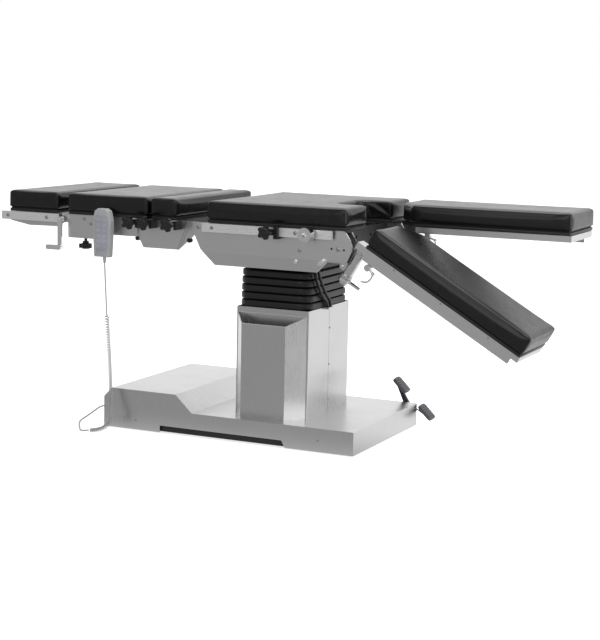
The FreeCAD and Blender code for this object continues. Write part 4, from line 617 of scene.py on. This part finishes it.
def make_cord():
    """The hand control's cord: straight lead, curly middle and the tail into the base."""
    lead = as_mesh(smooth_route("lead", HANDSET_LEAD, LEAD_RADIUS), "handset_cord_lead",
                   "cord_grey")
    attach(lead, "handset")
    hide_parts("handset_lead")
    line = line_of(HANDSET_LEAD)
    length_of(line)

    wire = CURL_WIRE
    turns = helix(line_of(HANDSET_CURL), CURL_RADIUS - wire, CURL_LOOSE, CURL_TIGHT, CURL_STEP)
    curve = bpy.data.curves.new("curl", "CURVE")
    curve.dimensions = "3D"
    spline = curve.splines.new("POLY")
    spline.points.add(len(turns) - 1)
    for target, point in zip(spline.points, turns):
        target.co = (*point, 1)
    curve.bevel_depth = wire
    curve.bevel_resolution = 2
    curve.use_fill_caps = True
    cord = bpy.data.objects.new("curl", curve)
    bpy.context.scene.collection.objects.link(cord)
    curl = as_mesh(cord, "handset_cord_curl", "cord_grey")
    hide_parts("handset_curl")
    length_of(turns)
    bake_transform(curl)

    tail = as_mesh(smooth_route("tail", HANDSET_TAIL, LEAD_RADIUS), "handset_cord_tail",
                   "cord_grey")
    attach(tail, "base")
    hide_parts("handset_tail")
    line = line_of(HANDSET_TAIL)
    length_of(line)


HOSE_X = 0.139
HOSE_RADIUS = 0.005
HOSES = {
    "hose_upper": [(-0.118, 0.5758), (-0.112, 0.55173), (-0.080, 0.51066), (-0.046, 0.47385),
                   (-0.018, 0.45686), (-0.012, 0.4342)],
    "hose_lower": [(-0.140, 0.5758), (-0.136, 0.54606), (-0.104, 0.50075), (-0.072, 0.46818),
                   (-0.042, 0.45544), (-0.034, 0.4342)],
}


def make_hoses():
    for node, route in HOSES.items():
        points = [(HOSE_X, y, z) for y, z in route]
        hose = as_mesh(smooth_route(node, points, HOSE_RADIUS), f"{node}_tube",
                       "bellows_rubber")
        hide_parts(node)
        line = line_of(points)
        length_of(line)
        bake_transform(hose)


# Trim

def plate(bm, outline, front, back):
    """A prism across the table over an outline of points in X and Z."""
    base = bm.faces.new([bm.verts.new((x, front, z)) for x, z in outline])
    grown = bmesh.ops.extrude_face_region(bm, geom=[base])
    moved = [g for g in grown["geom"] if isinstance(g, bmesh.types.BMVert)]
    bmesh.ops.translate(bm, verts=moved, vec=(0, back - front, 0))


def studs(name, finish, body, places, towards, radius, height, segments=20, matrix=None):
    """Round or six-sided heads at several places, all facing one way."""
    bm = bmesh.new()
    for place in places:
        button(bm, facing(Vector(place), towards), radius, height, segments)
    bmesh.ops.transform(bm, matrix=matrix or Matrix(), verts=bm.verts)
    piece_from(bm, name, finish, body)


def oval(x, z, half_x, half_z, count=20):
    return [(x + half_x * math.cos(2 * math.pi * i / count), z + half_z * math.sin(2 * math.pi * i / count))
            for i in range(count)]


def strip(points, width):
    """A band that follows points in X and Z, widened to their left."""
    line = [Vector(p) for p in points]
    outer = []
    for i, point in enumerate(line):
        along = (line[min(i + 1, len(line) - 1)] - line[max(i - 1, 0)]).normalized()
        outer.append(point + Vector((-along.y, along.x)) * width)
    return [tuple(p) for p in line] + [tuple(p) for p in reversed(outer)]


TOWARDS_NEAR = (0, -1, 0)
TOWARDS_FAR = (0, 1, 0)
TOWARDS_FOOT = (1, 0, 0)
RAIL_FACE = -0.278
RAIL_MID = 0.6945
SIDE_FACE = -0.258
KNOB_FACE = -0.330
KNOB_MID = 0.6985
LEG_FACE = -0.260
LEG_SCREWS = (0.46, 0.64, 0.82)
HIGHLIGHT_WIDTH = 0.0016
KEY_ROWS = 6
KEY_PITCH = 0.018
TREAD_PLACES = ((0.280, 0.303, 0.135), (0.375, 0.303, 0.049))
RIB_SHIFTS = (-0.020, -0.010, 0.0, 0.010, 0.020)


def base_screws():
    studs("casing_fasteners", "screw", "base",
          [(0.131, 0.006, z) for z in (0.359, 0.236, 0.116)], TOWARDS_FOOT, 0.0035, 0.0016)
    studs("skirt_screws", "screw", "base", [(0.222, -0.275, 0.040), (-0.446, -0.275, 0.035)],
          TOWARDS_NEAR, 0.004, 0.0012)


def seat_bolts():
    studs("seat_hex_bolt", "bright_edge", "seat", [(0.124, -0.2560, 0.602)], TOWARDS_NEAR,
          0.008, 0.005, 6)
    studs("seat_bolts", "screw", "seat", [(0.138, SIDE_FACE, 0.639), (-0.225, SIDE_FACE, 0.692)],
          TOWARDS_NEAR, 0.0065, 0.0022)
    studs("seat_pin_heads", "screw", "seat", [(0.270, SIDE_FACE, 0.650), (0.270, -SIDE_FACE, 0.650)],
          TOWARDS_NEAR, 0.0075, 0.0018)
    # Painted shade: thin near-black discs stand in for the dark inside of the plate's holes.
    studs("seat_plate_hole_shade", "hole", "seat", [(0.248, -0.2578, 0.651), (0.290, -0.2578, 0.649),
                                               (0.244, -0.2578, 0.690)],
          TOWARDS_NEAR, 0.0042, 0.0004)
    studs("seat_rail_bolts", "screw", "seat", [(-0.166, RAIL_FACE, RAIL_MID), (0.130, RAIL_FACE, RAIL_MID)],
          TOWARDS_NEAR, 0.0062, 0.0003)


def head_and_back_bolts():
    studs("head_rail_bolts", "screw", "head", [(-0.953, RAIL_FACE, RAIL_MID), (-0.797, RAIL_FACE, RAIL_MID)],
          TOWARDS_NEAR, 0.0062, 0.0022)
    studs("upper_back_bolts", "screw", "upper_back", [(-0.660, SIDE_FACE, 0.695), (-0.634, SIDE_FACE, 0.680)],
          TOWARDS_NEAR, 0.0055, 0.002)
    studs("back_bumpers", "black_plastic", "back", [(-0.459, -0.238, 0.642), (-0.264, -0.238, 0.646)],
          TOWARDS_NEAR, 0.008, 0.0138)


def knob_caps():
    for n, x in ((1, -0.4525), (2, -0.3995), (3, -0.308)):
        studs(f"back_knob_cap_{n}", "black_clamp", f"back_knob_{n}", [(x, KNOB_FACE, KNOB_MID)],
              TOWARDS_NEAR, 0.006, 0.0012)
    studs("seat_clamp_knob_cap", "black_clamp", "seat_clamp_knob", [(0.044, KNOB_FACE, RAIL_MID)],
          TOWARDS_NEAR, 0.006, 0.0012)


def leg_screws():
    near = [(x, LEG_FACE, 0.7015) for x in LEG_SCREWS]
    far = [(x, -LEG_FACE, 0.7015) for x in LEG_SCREWS]
    studs("near_leg_screws", "screw", "leg_near", near, TOWARDS_NEAR, 0.0035, 0.0012,
          matrix=DROP)
    studs("far_leg_screws", "screw", "leg_far", far, TOWARDS_FAR, 0.0035, 0.0012)


def seat_plate_trim():
    """The small bracket at the seat plate's foot end, and bright strips along both plates' rounded edges that
    are painted highlights.
    """
    bm = bmesh.new()
    plate(bm, [(0.201, 0.594), (0.214, 0.596), (0.231, 0.613), (0.222, 0.619), (0.203, 0.606)],
          -0.2555, -0.2625)
    round_edges(bm, lambda e: True, 0.001, 2)
    piece_from(bm, "seat_foot_bracket", "bright_edge", "seat")

    # Painted highlights: thin bright strips where light catches the rounded edges of the outer and inner
    # plates.
    outer_highlight = [(0.286, 0.7085), (0.294, 0.702), (0.308, 0.682), (0.316, 0.662), (0.316, 0.645)]
    inner_highlight = [(0.294, 0.700), (0.314, 0.664), (0.314, 0.642)]
    for name, side in (("near", NEAR), ("far", FAR)):
        bm = bmesh.new()
        plate(bm, strip(outer_highlight, HIGHLIGHT_WIDTH), side * 0.2535, side * 0.2584)
        plate(bm, strip(inner_highlight, HIGHLIGHT_WIDTH), side * 0.2045, side * 0.2114)
        piece_from(bm, f"seat_painted_highlights_{name}", "bright_edge", "seat")


def bar(bm, half_wide, low, high, front, back):
    plate(bm, [(-half_wide, low), (half_wide, low), (half_wide, high), (-half_wide, high)], front, back)


def pocket_rim_highlights():
    # Thin bright bars on the pocket's bend edges are painted highlights.
    bm = bmesh.new()
    bar(bm, 0.079, 0.3850, 0.3874, -0.2254, -0.2286)
    bar(bm, 0.124, 0.4128, 0.4150, -0.1638, -0.1652)
    piece_from(bm, "pocket_painted_highlight_rims", "bright_edge", "base")


def handset_face():
    """The hand control's film and its plain keys in two columns."""
    bm = bmesh.new()
    panel = [(-0.586, 0.700), (-0.583, 0.630), (-0.578, 0.596), (-0.542, 0.596), (-0.537, 0.630),
             (-0.534, 0.700), (-0.538, 0.716), (-0.582, 0.716)]
    plate(bm, panel, -0.3115, -0.3123)
    piece_from(bm, "handset_keypad", "keypad", "handset")
    bm = bmesh.new()
    for row in range(KEY_ROWS):
        for x in (-0.572, -0.548):
            plate(bm, oval(x, 0.613 + KEY_PITCH * row, 0.0075, 0.0048), -0.3121, -0.3126)
    piece_from(bm, "handset_keys", "key", "handset")


def pedal_ribs():
    tread = Matrix.Rotation(math.radians(45), 4, "Y")
    rib = Matrix.Diagonal((0.004, 0.038, 0.0022, 1))
    bm = bmesh.new()
    for centre in TREAD_PLACES:
        for shift in RIB_SHIFTS:
            seat = Matrix.Translation(centre) @ tread @ Matrix.Translation((shift, 0, 0.0003))
            bmesh.ops.create_cube(bm, size=1, matrix=seat @ rib)
    piece_from(bm, "pedal_ribs", "pedal_grey", "brake", smooth=0)


def make_trim():
    base_screws()
    seat_bolts()
    head_and_back_bolts()
    knob_caps()
    leg_screws()
    seat_plate_trim()
    pocket_rim_highlights()
    handset_face()
    pedal_ribs()


# Stage

def camera():
    forward = Vector((-math.sin(CAMERA_YAW) * math.cos(CAMERA_PITCH),
                      math.cos(CAMERA_YAW) * math.cos(CAMERA_PITCH), -math.sin(CAMERA_PITCH)))
    right = Vector((math.cos(CAMERA_YAW), math.sin(CAMERA_YAW), 0))
    down = forward.cross(right)
    turned_right = right * math.cos(CAMERA_ROLL) + down * math.sin(CAMERA_ROLL)
    turned_down = down * math.cos(CAMERA_ROLL) - right * math.sin(CAMERA_ROLL)
    axes = Matrix((turned_right, -turned_down, -forward)).transposed().to_4x4()
    data = bpy.data.cameras.new("camera")
    data.lens = LENS
    data.sensor_width = 36
    data.clip_end = 60
    cam = bpy.data.objects.new("camera", data)
    cam.matrix_world = Matrix.Translation(CAMERA_PLACE) @ axes
    bpy.context.scene.collection.objects.link(cam)
    bpy.context.scene.camera = cam


def lamp(name, place, aim, width, height, power):
    data = bpy.data.lights.new(name, "AREA")
    data.shape = "RECTANGLE"
    data.size = width
    data.size_y = height
    data.energy = power
    light = bpy.data.objects.new(name, data)
    light.matrix_world = facing(Vector(place), Vector(place) - Vector(aim))
    bpy.context.scene.collection.objects.link(light)


FRONT_TONE = 0.40
REAR_TONE = 1.1
TONE_STARTS = -0.5
TONE_ENDS = 0.15
FLOOR_GLOW = 0.7


def white_floor():
    """White to the camera with the table's shadow on it; mirrored in metal it is a painted glow that darkens
    in front.
    """
    bm = bmesh.new()
    bmesh.ops.create_grid(bm, x_segments=1, y_segments=1, size=40)
    mesh = bpy.data.meshes.new("floor")
    bm.to_mesh(mesh)
    bm.free()
    floor = bpy.data.objects.new("floor", mesh)
    bpy.context.scene.collection.objects.link(floor)
    paint = Finish("white floor", Base_Color=(0.86, 0.86, 0.86, 1), Roughness=0.7)
    surface = Value(paint, paint.shader.outputs[0])
    seen = paint.node("ShaderNodeLightPath", {}, {}, "Is Camera Ray")
    mirrored_ray = paint.node("ShaderNodeLightPath", {}, {}, "Is Glossy Ray")
    spot = paint.node("ShaderNodeNewGeometry", {}, {}, "Position")
    across = paint.node("ShaderNodeSeparateXYZ", {}, {0: spot}, "Y")
    tone = paint.node("ShaderNodeMapRange", {},
                      {0: across, 1: TONE_STARTS, 2: TONE_ENDS, 3: FRONT_TONE, 4: REAR_TONE})
    # Painted light: in reflections the floor glows, dimmer towards the front, so metal faces turned forward
    # mirror a darker floor.
    far_glow = paint.node("ShaderNodeEmission", {}, {"Color": (1, 1, 1, 1), "Strength": tone})
    glow = paint.node("ShaderNodeEmission", {}, {"Color": (1, 1, 1, 1), "Strength": FLOOR_GLOW})
    both = paint.node("ShaderNodeAddShader", {}, {0: surface, 1: glow})
    reflected = paint.node("ShaderNodeMixShader", {}, {0: mirrored_ray, 1: surface, 2: far_glow})
    picked = paint.node("ShaderNodeMixShader", {}, {0: seen, 1: reflected, 2: both})
    paint.tree.links.new(picked.socket, paint.tree.nodes["Material Output"].inputs["Surface"])
    mesh.materials.append(paint.material)


def sky():
    """Soft studio surround: bright behind the table, darker in front, white to the camera."""
    world = bpy.data.worlds.new("studio")
    world.use_nodes = True
    bpy.context.scene.world = world
    tree = world.node_tree
    back = tree.nodes["Background"]
    spot = tree.nodes.new("ShaderNodeTexCoord")
    split = tree.nodes.new("ShaderNodeSeparateXYZ")
    tree.links.new(spot.outputs["Generated"], split.inputs[0])

    def maths(operation, a, b):
        node = tree.nodes.new("ShaderNodeMath")
        node.operation = operation
        for socket, value in zip(node.inputs, (a, b)):
            if isinstance(value, bpy.types.NodeSocket):
                tree.links.new(value, socket)
            else:
                socket.default_value = value
        return node.outputs[0]

    rise = maths("MULTIPLY", maths("ADD", split.outputs[1], 0.05), 1.8)
    rear = maths("MINIMUM", maths("MAXIMUM", rise, 0.0), 1.0)
    level = maths("ADD", maths("MULTIPLY", rear, REAR_TONE - FRONT_TONE), FRONT_TONE)
    path = tree.nodes.new("ShaderNodeLightPath")
    mix = tree.nodes.new("ShaderNodeMix")
    tree.links.new(path.outputs["Is Camera Ray"], mix.inputs[0])
    tree.links.new(level, mix.inputs[2])
    mix.inputs[3].default_value = 1.0
    tree.links.new(mix.outputs[0], back.inputs["Strength"])
    back.inputs["Color"].default_value = (1, 1, 1, 1)


make_cushions()
make_bellows()
make_cord()
make_hoses()
make_trim()
camera()
white_floor()
sky()
lamp("ceiling softbox", (0.3, 0.4, 3.4), (0, 0, 0.5), 3.6, 2.6, 60)
lamp("foot end softbox", (3.6, -0.4, 1.4), (0.1, 0, 0.5), 2.4, 2.2, 38)
lamp("front fill", (0.4, -4.2, 2.2), (0, 0, 0.4), 3.0, 2.0, 26)
bpy.context.scene.view_settings.view_transform = "Standard"
